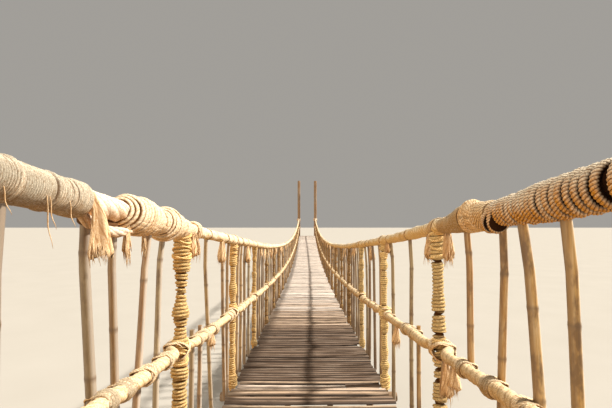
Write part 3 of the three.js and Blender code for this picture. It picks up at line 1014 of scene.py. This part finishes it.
def right_coil():
    """Coarse three-strand rope round the right handrail: slack turns with gaps between them, and a core
    painted dark inside as the shade in those gaps.
    """
    centre = rail_centre(1)
    rng = random.Random(41)
    fine_from = ahead(0.66)
    before_gap, after_gap = [ahead(place) for place in WIDE_GAP]
    places = [fine_from]
    while places[-1] < before_gap - 0.035:
        places.append(places[-1] + rng.uniform(0.0210, 0.0280))
    places += [before_gap, after_gap]
    while places[-1] < ahead(COARSE_ENDS) - 0.03:
        places.append(places[-1] + rng.uniform(0.0210, 0.0290))
    places += [ahead(place) for place in (COARSE_ENDS, *SLACK_TURNS)]

    def centre_at(y, angle):
        slant = read_off([(1.0, 0.007), (1.12, 0.014), (COARSE_ENDS, 0.004), (SLACK_TURNS[0], -0.006)],
                         from_eye(y)) + drift(15 * y, 45, 0.006)
        return centre(y + slant * math.cos(angle - 1.0)) - Vector((0, 0, 0.004))

    def ring_at(y, angle):
        swollen = read_off([(0.72, 0.040), (0.90, 0.0425), (1.0, 0.0425), (COARSE_STEP - 0.02, 0.0405),
                            (COARSE_STEP + 0.01, 0.035), (COARSE_ENDS, 0.0335)], from_eye(y))
        hanging_low = 0.036 * smooth(COARSE_ENDS + 0.008, SLACK_TURNS[0], from_eye(y))
        uneven = drift(45 * y + 1.5 * math.cos(angle), 44, 0.0035)
        return swollen + uneven + hanging_low * max(0.0, math.cos(angle + 2.1)) ** 2.5

    wound = Assembly()
    wound.add(coil("y", places, 150, 12, centre_at, ring_at, COARSE_CORD, COARSE_LAY))
    behind = stations(-ROPE_END + 0.02, fine_from, 0.0190)
    wound.add(coil("y", behind, 18, 6, centre_at, ring_at, COARSE_CORD))
    painted_shade_core(wound, -ROPE_END + 0.02, ahead(COARSE_ENDS), 0.05, 16, centre,
               lambda y, angle: ring_at(y, 0.0) - 0.008)
    painted_shade_core(wound, ahead(COARSE_ENDS) + 0.006, ahead(SLACK_TURNS[1]), 0.02, 16,
               lambda y: centre(y) - Vector((0.014, 0, 0.033)), always(0.027))
    wound.finish("right_handrail_coil", COARSE_ROPE, "rope", ["right_handrail_rope"])


def right_fine_wrapping():
    """Turns that get finer from the coarse rope to the first post, with a knot on top."""
    centre = rail_centre(1)
    start, end = ahead(FINE_STARTS), ahead(FINE_ENDS)
    rng = random.Random(51)

    def radius_at(y, angle):
        taper = read_off([(start, 0.042), (start + 0.12, 0.037), (start + 0.22, 0.031), (end, 0.029)], y)
        heaped = 0.012 * max(0.0, math.sin(angle)) * (1 - smooth(start, start + 0.18, y))
        return taper + heaped + drift(17 * y + 1.2 * math.cos(angle), 53, 0.003)

    def ring_at(y, angle):
        return 0.0375 + drift(40 * y + 1.5 * math.cos(angle), 56, 0.004)

    def centre_at(y, angle):
        return centre(y + 0.010 * math.cos(angle - 0.8))

    fine = Assembly()
    fine.add(wrapping("y", start, end, FINE_CORD, FINE_CORD, 4, 24, centre, radius_at,
                      lambda y, angle: 0.5 + drift(80 * y, 54, 1.0),
                      lambda y: 0.012 + drift(6 * y, 55, 0.012)))
    places = stations(ahead(SLACK_TURNS[1]) + 0.004, start + 0.015, 0.0165)
    fine.add(coil("y", places, 110, 12, centre_at, ring_at, MIDDLE_CORD, 0.030))
    # The knot: turns that ride up over the others
    size = 0.0425
    for i in range(5):
        y = ahead(KNOT_AT) + 0.028 * (i - 1.5)
        rise = 0.002 + 0.018 * hump(2.6, 2.4, i)
        loop = cord_loop(size, size + rise / 2, rng.uniform(0.014, 0.017), 30, 8)
        turn = Matrix.Translation(centre(y) + Vector((0, 0, rise / 2)))
        slant = Matrix.Rotation(rng.uniform(-0.35, 0.15), 4, "X")
        fine.add(loop, 0.5, turn @ slant @ Matrix.Rotation(rng.uniform(-0.3, 0.3), 4, "Z"))
    fine.finish("right_handrail_fine_wrapping", ROPE, "rope", ["right_handrail_rope"])


def is_bare_rail(side, y):
    ends = LEFT_JOINT[2] if side < 0 else FINE_ENDS
    return y > ahead(ends)


def rail_lashings(side):
    """A few turns of cord over the rail at the head of most sticks and of every post."""
    centre = rail_centre(side)
    thick = rail_radius(side)
    lashings = Assembly()
    rng = random.Random(61 + side)
    heads = [(head, 0.022) for foot, head, kind in sticks_of(side) if kind != "low"]
    heads += [(bay_line(line), 0.055) for line in range(1, BAYS)]
    for y, width in heads:
        cord = rng.uniform(0.0060, 0.0090)
        wide = width * rng.uniform(0.7, 1.5)
        slant = rng.uniform(-0.016, 0.016)
        if rng.random() < 0.25 or not is_bare_rail(side, y - wide):
            continue
        rows, around = (4, 18) if is_close(y) else (2, 9)
        lashings.add(wrapping("y", y - wide / 2, y + wide / 2, cord, cord, rows, around, centre,
                              lambda here, angle: thick(here) + 0.1 * cord,
                              always(0.5), lambda here: slant))
    lashings.finish(f"{SIDES[side]}_rail_lashings", ROPE, "rope", [f"{SIDES[side]}_handrail_rope"])


# Sticks, mid ropes and wrapped posts

def sticks_of(side):
    """All the sticks of a fence, as the places of foot and head along the bridge and the kind."""
    patterns = STICKS[side]
    found = []
    for bay in range(BAYS):
        for kind, places in patterns[bay % len(patterns)].items():
            found += [(bay_line(bay + foot), bay_line(bay + head), kind) for foot, head in places]
    return sorted(found)


def crossings_of(side):
    """Where the sticks of a fence cross the mid rope."""
    return [(foot + head) / 2 for foot, head, kind in sticks_of(side)]


def mid_rope_x(y):
    """The mid rope passes inside the sticks and outside the posts, and ends at the portal posts."""
    from_portal = SPAN / 2 - abs(y)
    if from_portal < BAY / 2:
        return FENCE_X + (MID_ROPE_INSIDE - FENCE_X) * smooth(0.15, BAY / 2, from_portal)
    outwards = hump(0.0, 0.17, from_bay_line(y))
    return MID_ROPE_INSIDE + (MID_ROPE_OUTSIDE - MID_ROPE_INSIDE) * outwards


def mid_rope_centre(side):
    """The axis of the mid rope, which hangs a little slack between its lashings."""
    def centre_at(y):
        free = smooth(0.0, 0.8, MID_ROPE_END - abs(y))
        slack = drift(1.7 * y, side + 71, 0.012) + drift(9 * y, side + 72, 0.004)
        return Vector((side * mid_rope_x(y), y, mid_rope_z(y) + slack * free))
    return centre_at


def mid_rope(side):
    """A thick, soft, lumpy rope."""
    def radius_at(y):
        return MID_ROPE_RADIUS + drift(3.0 * y, side + 73, 0.003) + drift(15.0 * y, side + 74, 0.003)

    rope = Assembly()
    places = rope_stations(-MID_ROPE_END, MID_ROPE_END, 0.014, 0.032)
    rope.add(twisted_rope("y", places, 12, mid_rope_centre(side), radius_at, MID_ROPE_LAY, 3, 0.06))
    rope.finish(f"{SIDES[side]}_mid_rope", MID_ROPE, "rope", [f"{SIDES[side]}_fence"])


def mid_lashings(side):
    """Cords that tie the mid rope to each stick and each post, and lumps of turns beside them."""
    rng = random.Random(81 + side)
    lashings = Assembly()
    crossings = [(y, STICK_X, STICK_RADIUS, 2.0) for y in crossings_of(side)]
    crossings += [(bay_line(line), FENCE_X, POST_RADIUS + 0.006, 3.0) for line in range(1, BAYS)]
    rope = mid_rope_centre(side)
    for y, x, radius, turns in crossings:
        rope_x = mid_rope_x(y)
        middle = Vector((side * (rope_x + x) / 2, y, rope(y).z))
        half_gap = side * (x - rope_x) / 2
        cord = rng.uniform(0.007, 0.0105) * (1.0 if radius == STICK_RADIUS else 1.35)
        close = is_close(y)
        steps, around = (15, 6) if close else (8, 4)
        for way in (-1, 1):
            count = turns + rng.choice((-0.5, 0.0, 0.5))
            lashings.add(lashing(middle, half_gap, MID_ROPE_RADIUS, radius, way, count, steps, around,
                                 cord))
        start, end = y - rng.uniform(0.020, 0.050), y + rng.uniform(0.015, 0.040)
        rows, around = (4, 16) if close else (2, 8)
        lashings.add(wrapping("y", start, end, 0.0105, 0.0105, rows, around, rope,
                              lump_of_turns(start, end, rng.uniform(0.002, 0.009), rng.random()),
                              always(0.5), lambda here: 0.007))
    lashings.finish(f"{SIDES[side]}_mid_lashings", ROPE, "rope", [f"{SIDES[side]}_fence"])


def lump_of_turns(start, end, height, seed):
    """The radius of a few turns laid over the mid rope, thickest at their middle."""
    def radius_at(y, angle):
        swell = height * math.sin(math.pi * min(max((y - start) / (end - start), 0.0), 1.0))
        return MID_ROPE_RADIUS - 0.0025 + swell + drift(40 * y, 10 * seed, 0.001)
    return radius_at


def stick(fence, side, places, kind, rng):
    """One cane: thicker at its nodes, thinner at its head, a little bent and never quite upright."""
    foot_y, head_y = places
    y = (foot_y + head_y) / 2
    foot = deck_top(foot_y) - STICK_BELOW_DECK
    head = handrail_z(head_y)
    starts = foot if kind != "high" else mid_rope_z(y) - 0.03
    ends = head if kind != "low" else mid_rope_z(y) + 0.045
    thick = STICK_RADIUS * rng.uniform(0.88, 1.12)
    bend_x, bend_y = rng.uniform(-0.006, 0.006), rng.uniform(-0.009, 0.009)
    gap = rng.uniform(0.22, 0.42)
    first_node = ends - rng.uniform(0.1, 0.3)
    nodes = [first_node - gap * i for i in range(6) if first_node - gap * i > starts + 0.02]

    def at_node(z):
        return max([hump(node, 0.012, z) for node in nodes], default=0.0)

    def centre_at(z):
        share = (z - foot) / (head - foot)
        curve = math.sin(math.pi * share)
        across = STICK_X - 0.012 * smooth(0.85, 1.0, share)
        along = foot_y + (head_y - foot_y) * share + bend_y * curve
        return Vector((side * across + bend_x * curve, along, z))

    def radius_at(z, angle):
        taper = 1.06 - 0.14 * (z - foot) / (head - foot)
        return thick * (taper + 0.07 * at_node(z)) + drift(9 * z + y, 91, 0.0006)

    # Dirt together with painted shade, which darkens the whole stick.
    dirt_and_shade = read_off(DIRT_AND_SHADE[side], from_eye(y)) * rng.uniform(0.5, 1.3)

    def wear_and_shade_at(z, angle):
        # Darker towards the foot, reaching higher on the right: painted shade as well as dirt.
        darker_foot = 0.5 * (1 - smooth(0.05, 0.30 if side > 0 else 0.12, z - foot))
        return (1.0 - 0.55 * at_node(z)) * (1 - darker_foot) * (1 - min(dirt_and_shade, 0.8))

    close = is_close(y)
    heights = set(stations(starts, ends, 0.09 if close else 0.3))
    for node in nodes:
        heights |= {node - 0.014, node, node + 0.010} if close else {node}
    around = 10 if close else 6
    cane = round_bar("z", sorted(heights), around, centre_at, radius_at, wear_and_shade_at)
    fence.add(cane, rng.random())


def sticks(side):
    rng = random.Random(101 + side)
    fence = Assembly()
    for foot, head, kind in sticks_of(side):
        stick(fence, side, (foot, head), kind, rng)
    fence.finish(f"{SIDES[side]}_sticks", CANE, "cane", [f"{SIDES[side]}_fence"], 50)


def spaced_gaps(rng, start, pitch, count):
    """Which turns of a winding stand apart, as a value that changes smoothly up the post."""
    values = [0.0]
    while len(values) < count + 3:
        values += [rng.uniform(0.15, 0.45) for _ in range(rng.choice((2, 2, 3, 4, 6)))]
        values.append(rng.uniform(0.8, 1.7))

    def gap_at(z, angle):
        turn = min(max((z - start) / pitch, 0.0), count + 1.0)
        whole = int(turn)
        return values[whole] + (values[whole + 1] - values[whole]) * smooth(0.1, 0.9, turn - whole)
    return gap_at


def measured_gaps(side, head):
    """Which turns stand apart on a post of the first pair, where the view shows it."""
    def gap_at(z, angle):
        opened = max(hump(head - below, POST_GAP_REACH[side], z) for below in POST_GAPS[side])
        return POST_GAP_BASE + POST_GAP_DEPTH[side] * opened
    return gap_at


def wrapped_post(posts, side, line, rng):
    """A post wound with rope from its foot on the cross log up to the handrail."""
    y = bay_line(line)
    close = line in CLOSE_LINES
    foot = log_top(y) + 0.002
    head = handrail_z(y) - 0.012
    knot = mid_rope_z(y)
    pitch = rng.uniform(0.0140, 0.0165)
    cord = 1.1 * pitch
    outline = POST_OUTLINES[side] if line == FIRST_LINE else None
    swellings = [(foot + 0.14 + (head - foot - 0.25) * (i + rng.uniform(0, 0.8)) / 6,
                  rng.uniform(0.035, 0.075), rng.uniform(0.003, 0.013)) for i in range(6)]
    bend_x, bend_y = rng.uniform(-0.004, 0.004), rng.uniform(-0.006, 0.006)
    seed = 3 * line + side

    def centre_at(z):
        curve = math.sin(math.pi * (z - foot) / (head - foot))
        return Vector((side * FENCE_X + bend_x * curve, y + bend_y * curve, z))

    def radius_at(z, angle):
        uneven = drift(30 * z + 1.5 * math.cos(angle), seed, 0.002) + drift(85 * z, seed + 2, 0.0012)
        if outline:
            return read_off(outline, head - z) - cord / 2 + uneven
        swell = sum(height * hump(place, reach, z) for place, reach, height in swellings)
        foot_knot = 0.016 * hump(foot + 0.075, 0.07, z)
        mid_knot = 0.014 * hump(knot + 0.01, 0.075, z)
        flare = 0.012 * smooth(head - 0.13, head, z)
        return SLIM_POST_RADIUS - cord / 2 + swell + foot_knot + mid_knot + flare + uneven

    rows, around = (4, 20) if close else (2, 9)
    gaps = spaced_gaps(rng, foot, pitch, round((head - foot) / pitch))
    if outline:
        gaps = measured_gaps(side, head)
    slant = rng.uniform(-0.005, 0.005)
    posts.add(wrapping("z", foot, head, pitch, cord, rows, around, centre_at, radius_at, gaps,
                       lambda z: slant + drift(5 * z, seed + 1, 0.006) + drift(45 * z, seed, 0.005)))
    if close:
        cross_turns(posts, side, rng, centre_at, radius_at, [foot + 0.08, knot, head - 0.07])


def cross_turns(posts, side, rng, centre_at, radius_at, heights):
    """Turns that cross over the winding of a post where it is tied to something."""
    for height in heights:
        for _ in range(5):
            z = height + rng.uniform(-0.05, 0.05)
            size = radius_at(z, 1.0) + 0.009
            loop = cord_loop(size, size, rng.uniform(0.009, 0.012), 26, 7)
            tilt = rng.choice((-1, 1)) * rng.uniform(0.15, 0.55)
            place = Matrix.Translation(centre_at(z)) @ Matrix.Rotation(rng.uniform(0, TAU), 4, "Z")
            posts.add(loop, 0.5, place @ Matrix.Rotation(math.pi / 2 + tilt, 4, "X"))


def wrapped_posts(side):
    rng = random.Random(121 + side)
    near = Assembly()
    far = Assembly()
    for line in range(1, BAYS):
        wrapped_post(near if line <= LAST_NEAR_LINE else far, side, line, rng)
    near.finish(f"{SIDES[side]}_near_wrapped_posts", POST_ROPES[side], "rope", [f"{SIDES[side]}_fence"])
    far.finish(f"{SIDES[side]}_far_wrapped_posts", FAR_POST_ROPE_IN_SHADE, "rope", [f"{SIDES[side]}_fence"])


# Frayed rope ends

def matted_skirt(top, length, width, rng):
    """The mass of a frayed end: fibres that still cling together, in folds, with a ragged hem."""
    rows, around = 9, 26
    folds = [rng.uniform(-1, 1) for _ in range(around)]
    hems = [rng.uniform(0.80, 1.08) for _ in range(around)]
    lean = rng.uniform(-0.012, 0.012)

    def row_points(row):
        share = row / rows
        points = []
        for column in range(around + 1):
            index = column % around
            angle = TAU * index / around
            fold = 1 + 0.28 * folds[index] * share
            reach = width / 2 * (0.36 + 0.64 * math.sin(0.5 * math.pi * min(1.0, 1.15 * share))) * fold
            drop = length * share * (1 + (hems[index] - 1) * share)
            closing = 1 - 0.6 * smooth(0.93, 1.0, share)
            place = top + outward("z", angle) * (reach * closing) + Vector((lean * share, 0, -drop))
            # Inward folds are painted darker, as painted shade in the creases.
            points.append((place, drop, column / around, 0.55 + 0.45 * (0.5 + 0.5 * folds[index])))
        return points
    return skin(around, rows, row_points)


def wisp(top, reach, radius, sway, out, rows, around):
    """One lock of fibres that hangs down, drifts outwards and ends in a point."""
    def centre_at(share):
        spread = 0.55 * share ** 0.8
        wave = 0.0035 * math.sin(8 * share + 90 * out.x) * share
        return top + Vector((out.x * spread + wave, out.y * spread + sway * share ** 2, -reach * share))

    def radius_at(share, angle):
        return radius * (0.8 + 0.5 * math.sin(math.pi * share ** 0.7) - 0.55 * share ** 4)

    places = [i / rows for i in range(rows + 1)]
    # Painted darker at its top, for the shade among the fibres it starts from.
    return round_bar("z", places, around, centre_at, radius_at, lambda share, angle: 0.5 + 0.5 * share)


def tassel(tassels, top, length, width, rng, close=True):
    """A rope's end that has come apart: matted at its heart and ragged at its hem."""
    tone = rng.random()
    if close:
        tassels.add(matted_skirt(top, length * 0.90, width * 0.94, rng), tone)
    count, rows, around = (60, 4, 3) if close else (10, 3, 3)
    for _ in range(count):
        angle = rng.uniform(0, TAU)
        out = Vector((math.cos(angle), math.sin(angle), 0)) * (width / 2 * rng.uniform(0.35, 1.0))
        reach = length * rng.uniform(0.6, 1.08)
        radius = rng.uniform(0.0009, 0.0020) if close else rng.uniform(0.004, 0.007)
        start = top + out * 0.5 + Vector((0, 0, rng.uniform(-0.02, 0.01)))
        sway = rng.uniform(-0.010, 0.010)
        tassels.add(wisp(start, reach, radius, sway, out, rows, around), rng.random())


def flap_of_fibres(tassels, top, rng):
    """A frayed end laid down the inner side of a rail: narrow at its top, broad and ragged below."""
    rows, around = 12, 24
    broad, thin = Vector((0.35, 0.94, 0.0)), Vector((0.94, -0.35, 0.0))
    folds = [rng.uniform(-1, 1) for _ in range(around)]
    hems = [rng.uniform(0.86, 1.03) for _ in range(around)]

    def middle_at(share):
        return top + Vector((0.011 * smooth(0.0, 0.3, share), 0.036 * share, -FLAP_LENGTH * share))

    def half_width_at(share):
        return 0.007 + (FLAP_HALF_WIDTH - 0.007) * share ** 0.8

    def row_points(row):
        share = row / rows
        half_thick = 0.0045 + 0.005 * math.sin(math.pi * share)
        points = []
        for column in range(around + 1):
            index = column % around
            angle = TAU * index / around
            across = half_width_at(share) * math.cos(angle) * (1 + 0.12 * folds[index] * share)
            out = half_thick * math.sin(angle) * (1 + 0.55 * folds[index])
            hem = Vector((0, 0, FLAP_LENGTH * (1 - hems[index]) * share ** 2))
            place = middle_at(share) + broad * across + thin * out + hem
            # Inward folds are painted darker, as painted shade in the creases.
            points.append((place, share * FLAP_LENGTH, column / around, 0.6 + 0.4 * folds[index]))
        return points
    tassels.add(skin(around, rows, row_points), 0.5)
    for _ in range(46):
        share = rng.uniform(0.35, 0.75)
        beside = rng.uniform(-1, 1)
        start = middle_at(share) + broad * (half_width_at(share) * beside)
        reach = FLAP_LENGTH * (1 - share) * rng.uniform(0.85, 1.2)
        sway = rng.uniform(-0.006, 0.010)
        tassels.add(wisp(start, reach, rng.uniform(0.0009, 0.0017), sway, broad * (0.02 * beside), 4, 3),
                    rng.random())


def all_tassels():
    """Frayed ends of the lashings, where the view shows them, and a few more along the bridge."""
    rng = random.Random(141)
    for side in SIDES:
        tassels = Assembly()
        centre = rail_centre(side)
        for distance, length, width, inside in RAIL_TASSELS[side]:
            top = centre(ahead(distance)) + Vector((-side * inside, 0, -0.024))
            tassel(tassels, top, length, width, rng)
        for distance, length, width in MID_ROPE_TASSELS[side]:
            y = ahead(distance)
            top = Vector((side * (mid_rope_x(y) - 0.006), y, mid_rope_z(y) - 0.016))
            tassel(tassels, top, length, width, rng)
        last_shown = ahead(RAIL_TASSELS[side][-1][0] + 0.2)
        for foot, head, kind in sticks_of(side):
            if head > last_shown and kind != "low" and rng.random() < 0.45:
                top = centre(head + rng.uniform(-0.03, 0.03)) - Vector((0, 0, 0.025))
                tassel(tassels, top, rng.uniform(0.10, 0.17), rng.uniform(0.03, 0.05), rng, False)
        if side < 0:
            # The frayed end of the whipping, down the inner side of the rail
            flap_of_fibres(tassels, centre(ahead(WHIPPING_ENDS)) + Vector((0.037, 0, 0.020)), rng)
            for distance, length in LOOSE_THREADS:
                top = centre(ahead(distance)) + Vector((0.038, 0, -0.016))
                tassels.add(wisp(top, length, 0.0013, 0.012, Vector((0.004, 0.01, 0)), 7, 4), 0.3)
        tassels.finish(f"{SIDES[side]}_tassels", FRAY, "rope", [f"{SIDES[side]}_fence"])


# Deck

def slat(deck, y, wide, rng, tone=None, from_x=-1.0, to_x=1.0):
    """One slat across the deck: split or round, rough along its edges, ragged at its ends."""
    beside_posts = abs(from_bay_line(y)) <= POST_CLEARANCE
    reach = SLAT_BETWEEN_POSTS if beside_posts else SLAT_HALF_LENGTH
    if abs(y) > SPAN / 2 - DECK_STOP:
        reach = TONGUE_HALF_WIDTH
    left = max(-reach - rng.uniform(-0.014, 0.006), from_x)
    right = min(reach + rng.uniform(-0.014, 0.006), to_x)
    half_width = wide / 2
    half_thick = SLAT_THICKNESS / 2 * rng.uniform(0.80, 1.0)
    square = rng.choice((2.0, 2.0, 2.4, 3.2))
    seed = rng.uniform(0, 50)
    lift = rng.uniform(-0.0065, 0.0015)
    sag = rng.uniform(0.0, 0.004)

    def centre_at(x):
        return Vector((x, drift(2.5 * x, seed, 0.008), -sag * math.cos(3 * x)))

    def radius_at(x, angle):
        width = half_width * (1 + drift(7 * x, seed + 1, 0.30)) * (1 - 0.15 * smooth(0.4, 0.55, abs(x)))
        thick = half_thick * (1 + drift(5 * x, seed + 2, 0.14))
        flat = (abs(math.cos(angle)) / width) ** square + (abs(math.sin(angle)) / thick) ** square
        return flat ** (-1 / square)

    # The sides carry painted shade for the gaps between slats, and the ends are half as bright.
    def wear_and_shade_at(x, angle):
        return 0.5 if x in (left, right) else smooth(0.15, 0.90, abs(math.sin(angle)))

    places = stations(left, right, 0.155)
    bar = round_bar("x", places, 12, centre_at, radius_at, wear_and_shade_at)
    z = deck_top(y) - SLAT_THICKNESS / 2 + lift
    place = Matrix.Translation((0, y, z)) @ Matrix.Rotation(rng.uniform(-0.014, 0.014), 4, "Z")
    # The deck's paleness here, with the painted shade of its dark stretch.
    paleness_and_painted_light = read_off(DECK_PALENESS_AND_SHADE, from_eye(y))
    own_tone = min(max(paleness_and_painted_light + rng.uniform(-0.28, 0.28), 0.02), 0.98)
    deck.add(bar, own_tone if tone is None else tone, place @ Matrix.Rotation(slope_angle(y), 4, "X"))


def runner(deck, x, start, end, rng):
    """A pole along the bridge, under the slats and on the cross logs."""
    bend = rng.uniform(-0.012, 0.012)

    def centre_at(y):
        share = (y - start) / (end - start)
        return Vector((x + bend * math.sin(math.pi * share), y, log_top(y) + RUNNER_RADIUS))

    places = stations(start, end, 0.4)
    deck.add(round_bar("y", places, 8, centre_at, always(RUNNER_RADIUS - 0.0004)), 0.25)


def deck_length(index):
    """A length of the deck: runners on the cross logs, and close slats over them."""
    rng = random.Random(161 + index)
    deck = Assembly()
    start = bay_line(BAYS_A_LENGTH * index + LENGTH_SPLIT) if index else -SPAN / 2 - PORTAL_RADIUS
    last = index == DECK_LENGTHS - 1
    end = SPAN / 2 + PORTAL_RADIUS if last else bay_line(BAYS_A_LENGTH * (index + 1) + LENGTH_SPLIT)
    for x in RUNNER_PLACES:
        runner(deck, x + rng.uniform(-0.01, 0.01), start + 0.004, end - 0.004, rng)
    edge = start + 0.003
    while edge < end - 0.03:
        wide = rng.triangular(*SLAT_WIDTHS)
        if rng.random() < WIDE_BOARD_SHARE:
            wide = rng.uniform(*WIDE_BOARD_WIDTHS)
        if edge < ahead(PALE_BOARD) < edge + wide:
            wide = PALE_BOARD_WIDTH
            slat(deck, edge + wide / 2, wide, rng, PALE_BOARD_TONE, to_x=PALE_BOARD_END)
            slat(deck, edge + wide / 4, wide / 2, rng, 0.4, from_x=PALE_BOARD_END + 0.004)
            slat(deck, edge + 3 * wide / 4, wide / 2, rng, 0.3, from_x=PALE_BOARD_END + 0.004)
        else:
            wide = min(wide, end - 0.003 - edge)
            slat(deck, edge + wide / 2, wide, rng)
        edge += wide + rng.choice(SLAT_GAPS)
    deck.finish(f"deck_slats_{index + 1}", SLATS, "slats", [f"deck_length_{index + 1}"], 55)


# Logs, deck ropes and portals

def lying_log(logs, node, radius, half_length, rng):
    """A barked log across the bridge, where the node of its name lies."""
    low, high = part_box(node)
    middle = (Vector(low) + Vector(high)) / 2
    seed = rng.uniform(0, 60)

    def radius_at(x, angle):
        edge = 0.10 * smooth(half_length - 0.012, half_length, abs(x))
        return radius * (1 - edge - 0.03 + drift(3 * x + math.cos(angle), seed, 0.045))

    def centre_at(x):
        return Vector((x, drift(1.2 * x, seed + 1, 0.004), 0))

    def wear_and_shade_at(x, angle):
        return 0.75 if abs(x) > half_length - 0.004 else 1.0

    places = stations(-half_length, half_length, 0.1)
    places = [places[0], places[0] + 0.008, *places[1:-1], places[-1] - 0.008, places[-1]]
    turn = Matrix.Translation(middle) @ Matrix.Rotation(slope_angle(middle.y), 4, "X")
    logs.add(round_bar("x", places, 16, centre_at, radius_at, wear_and_shade_at), rng.random(), turn)
    return middle


def cross_logs():
    rng = random.Random(181)
    names = [f"cross_log_{i + 1}" for i in range(BAYS + 1)]
    logs, ties = Assembly(), Assembly()
    for name in names:
        middle = lying_log(logs, name, LOG_RADIUS, LOG_HALF_LENGTH, rng)
        for side in SIDES:
            tie_log(ties, middle, side, rng)
    logs.finish("cross_logs", LOG_TIMBER, "log", names, 45)
    ties.finish("deck_rope_ties", ROPE, "rope", ["left_deck_rope", "right_deck_rope"])


def tie_log(ties, middle, side, rng):
    """Two crossed loops that hold a cross log down on a deck rope."""
    rope_z = deck_rope_z(middle.y)
    place = Vector((side * DECK_ROPE_X, middle.y, (middle.z + rope_z) / 2 + 0.012))
    half_height = (middle.z + LOG_RADIUS - rope_z + DECK_ROPE_RADIUS) / 2
    for way in (-1, 1):
        for step in (-1, 1):
            loop = cord_loop(0.041, half_height + 0.002, 0.007, 14, 4)
            shifted = place + Vector((0.006 * step, -0.006 * step * way, 0))
            turn = Matrix.Rotation(way * math.pi / 4 + rng.uniform(-0.08, 0.08), 4, "Z")
            ties.add(loop, 0.5, Matrix.Translation(shifted) @ turn)


def deck_rope(side):
    """A laid rope under the cross logs, looped round the portal posts at both ends."""
    def centre_at(y):
        return Vector((side * DECK_ROPE_X, y, deck_rope_z(y)))

    rope = Assembly()
    places = stations(-SPAN / 2, SPAN / 2, 0.1)
    rope.add(round_bar("y", places, 10, centre_at, always(DECK_ROPE_RADIUS)))
    height = deck_rope_z(SPAN / 2)
    for end in ENDS:
        turns_round_portal(rope, side, end, [height - 0.029, height, height + 0.027],
                           PORTAL_RADIUS + DECK_ROPE_RADIUS + 0.002, 2 * DECK_ROPE_RADIUS)
    rope.finish(f"{SIDES[side]}_deck_rope", COARSE_ROPE, "rope", [f"{SIDES[side]}_deck_rope"])


def turns_round_portal(rope, side, end, heights, ring, cord):
    middle = Vector((side * FENCE_X, end * SPAN / 2, 0))
    rope.add(coil("z", heights, 30, 9, lambda z, angle: middle + Vector((0, 0, z)),
                  always(ring), cord, start_angle=0.8 * end))


def portal_turns():
    """Turns of rope that make the handrails and the mid ropes fast to the portal posts."""
    turns = Assembly()
    wound = [(handrail_z(SPAN / 2), 7, RAIL_TURNS_CORD, 0.015),
             (mid_rope_z(SPAN / 2), 6, MID_TURNS_CORD, 0.0115)]
    for side in SIDES:
        for end in ENDS:
            for middle, count, cord, off_post in wound:
                heights = [middle + cord * (i - (count - 1) / 2) for i in range(count)]
                turns_round_portal(turns, side, end, heights, PORTAL_RADIUS + off_post, cord)
            end_binding(turns, side, end)
    turns.finish("portal_rope_turns", COARSE_ROPE, "rope", ["left_handrail_rope", "right_handrail_rope"])


def end_binding(turns, side, end):
    """The rope's own end, bound back on the rail beside the portal post."""
    centre = rail_centre(side)
    start, stop = sorted((end * (ROPE_END - 0.26), end * (ROPE_END - 0.03)))
    turns.add(wrapping("y", start, stop, 0.016, 0.016, 4, 14, centre,
                       lambda y, angle: 0.042 + drift(20 * y, side, 0.003)))


def portal_post(side, end):
    """A tall round timber, its bark off, a little uneven, with a weathered top."""
    rng = random.Random(201 + 2 * side + end)
    seed = rng.uniform(0, 40)

    def radius_at(z, angle):
        crown = 0.014 * smooth(PORTAL_TOP - 0.05, PORTAL_TOP, z)
        uneven = drift(1.5 * z + math.cos(angle), seed, 0.006)
        uneven += drift(6 * z + 2 * math.sin(angle), seed + 1, 0.003)
        return PORTAL_RADIUS - 0.005 + uneven - crown

    def centre_at(z):
        return Vector((side * FENCE_X, end * SPAN / 2, z))

    def wear_and_shade_at(z, angle):
        return 0.7 if z > PORTAL_TOP - 0.01 else 1.0

    places = [*stations(0.0, PORTAL_TOP - 0.05, 0.11), PORTAL_TOP - 0.02, PORTAL_TOP]
    post = Assembly()
    post.add(round_bar("z", places, 26, centre_at, radius_at, wear_and_shade_at), rng.random())
    name = f"{ENDS[end]}_{SIDES[side]}_portal_post"
    post.finish(f"{name}_timber", PORTAL_TIMBER, "portal_timber", [name], 45)


def sill_log(end):
    log = Assembly()
    rng = random.Random(221 + end)
    name = f"{ENDS[end]}_sill_log"
    lying_log(log, name, SILL_RADIUS, SILL_HALF_LENGTH, rng)
    log.finish(f"{name}_timber", LOG_TIMBER, "log", [name], 45)


make_camera()
make_light()
make_floor()
for side in SIDES:
    handrail_core(side)
    rail_lashings(side)
    mid_rope(side)
    mid_lashings(side)
    sticks(side)
    wrapped_posts(side)
    deck_rope(side)
left_whipping()
left_neck()
left_joint()
right_coil()
right_fine_wrapping()
all_tassels()
for index in range(DECK_LENGTHS):
    deck_length(index)
cross_logs()
portal_turns()
for end in ENDS:
    sill_log(end)
    for side in SIDES:
        portal_post(side, end)
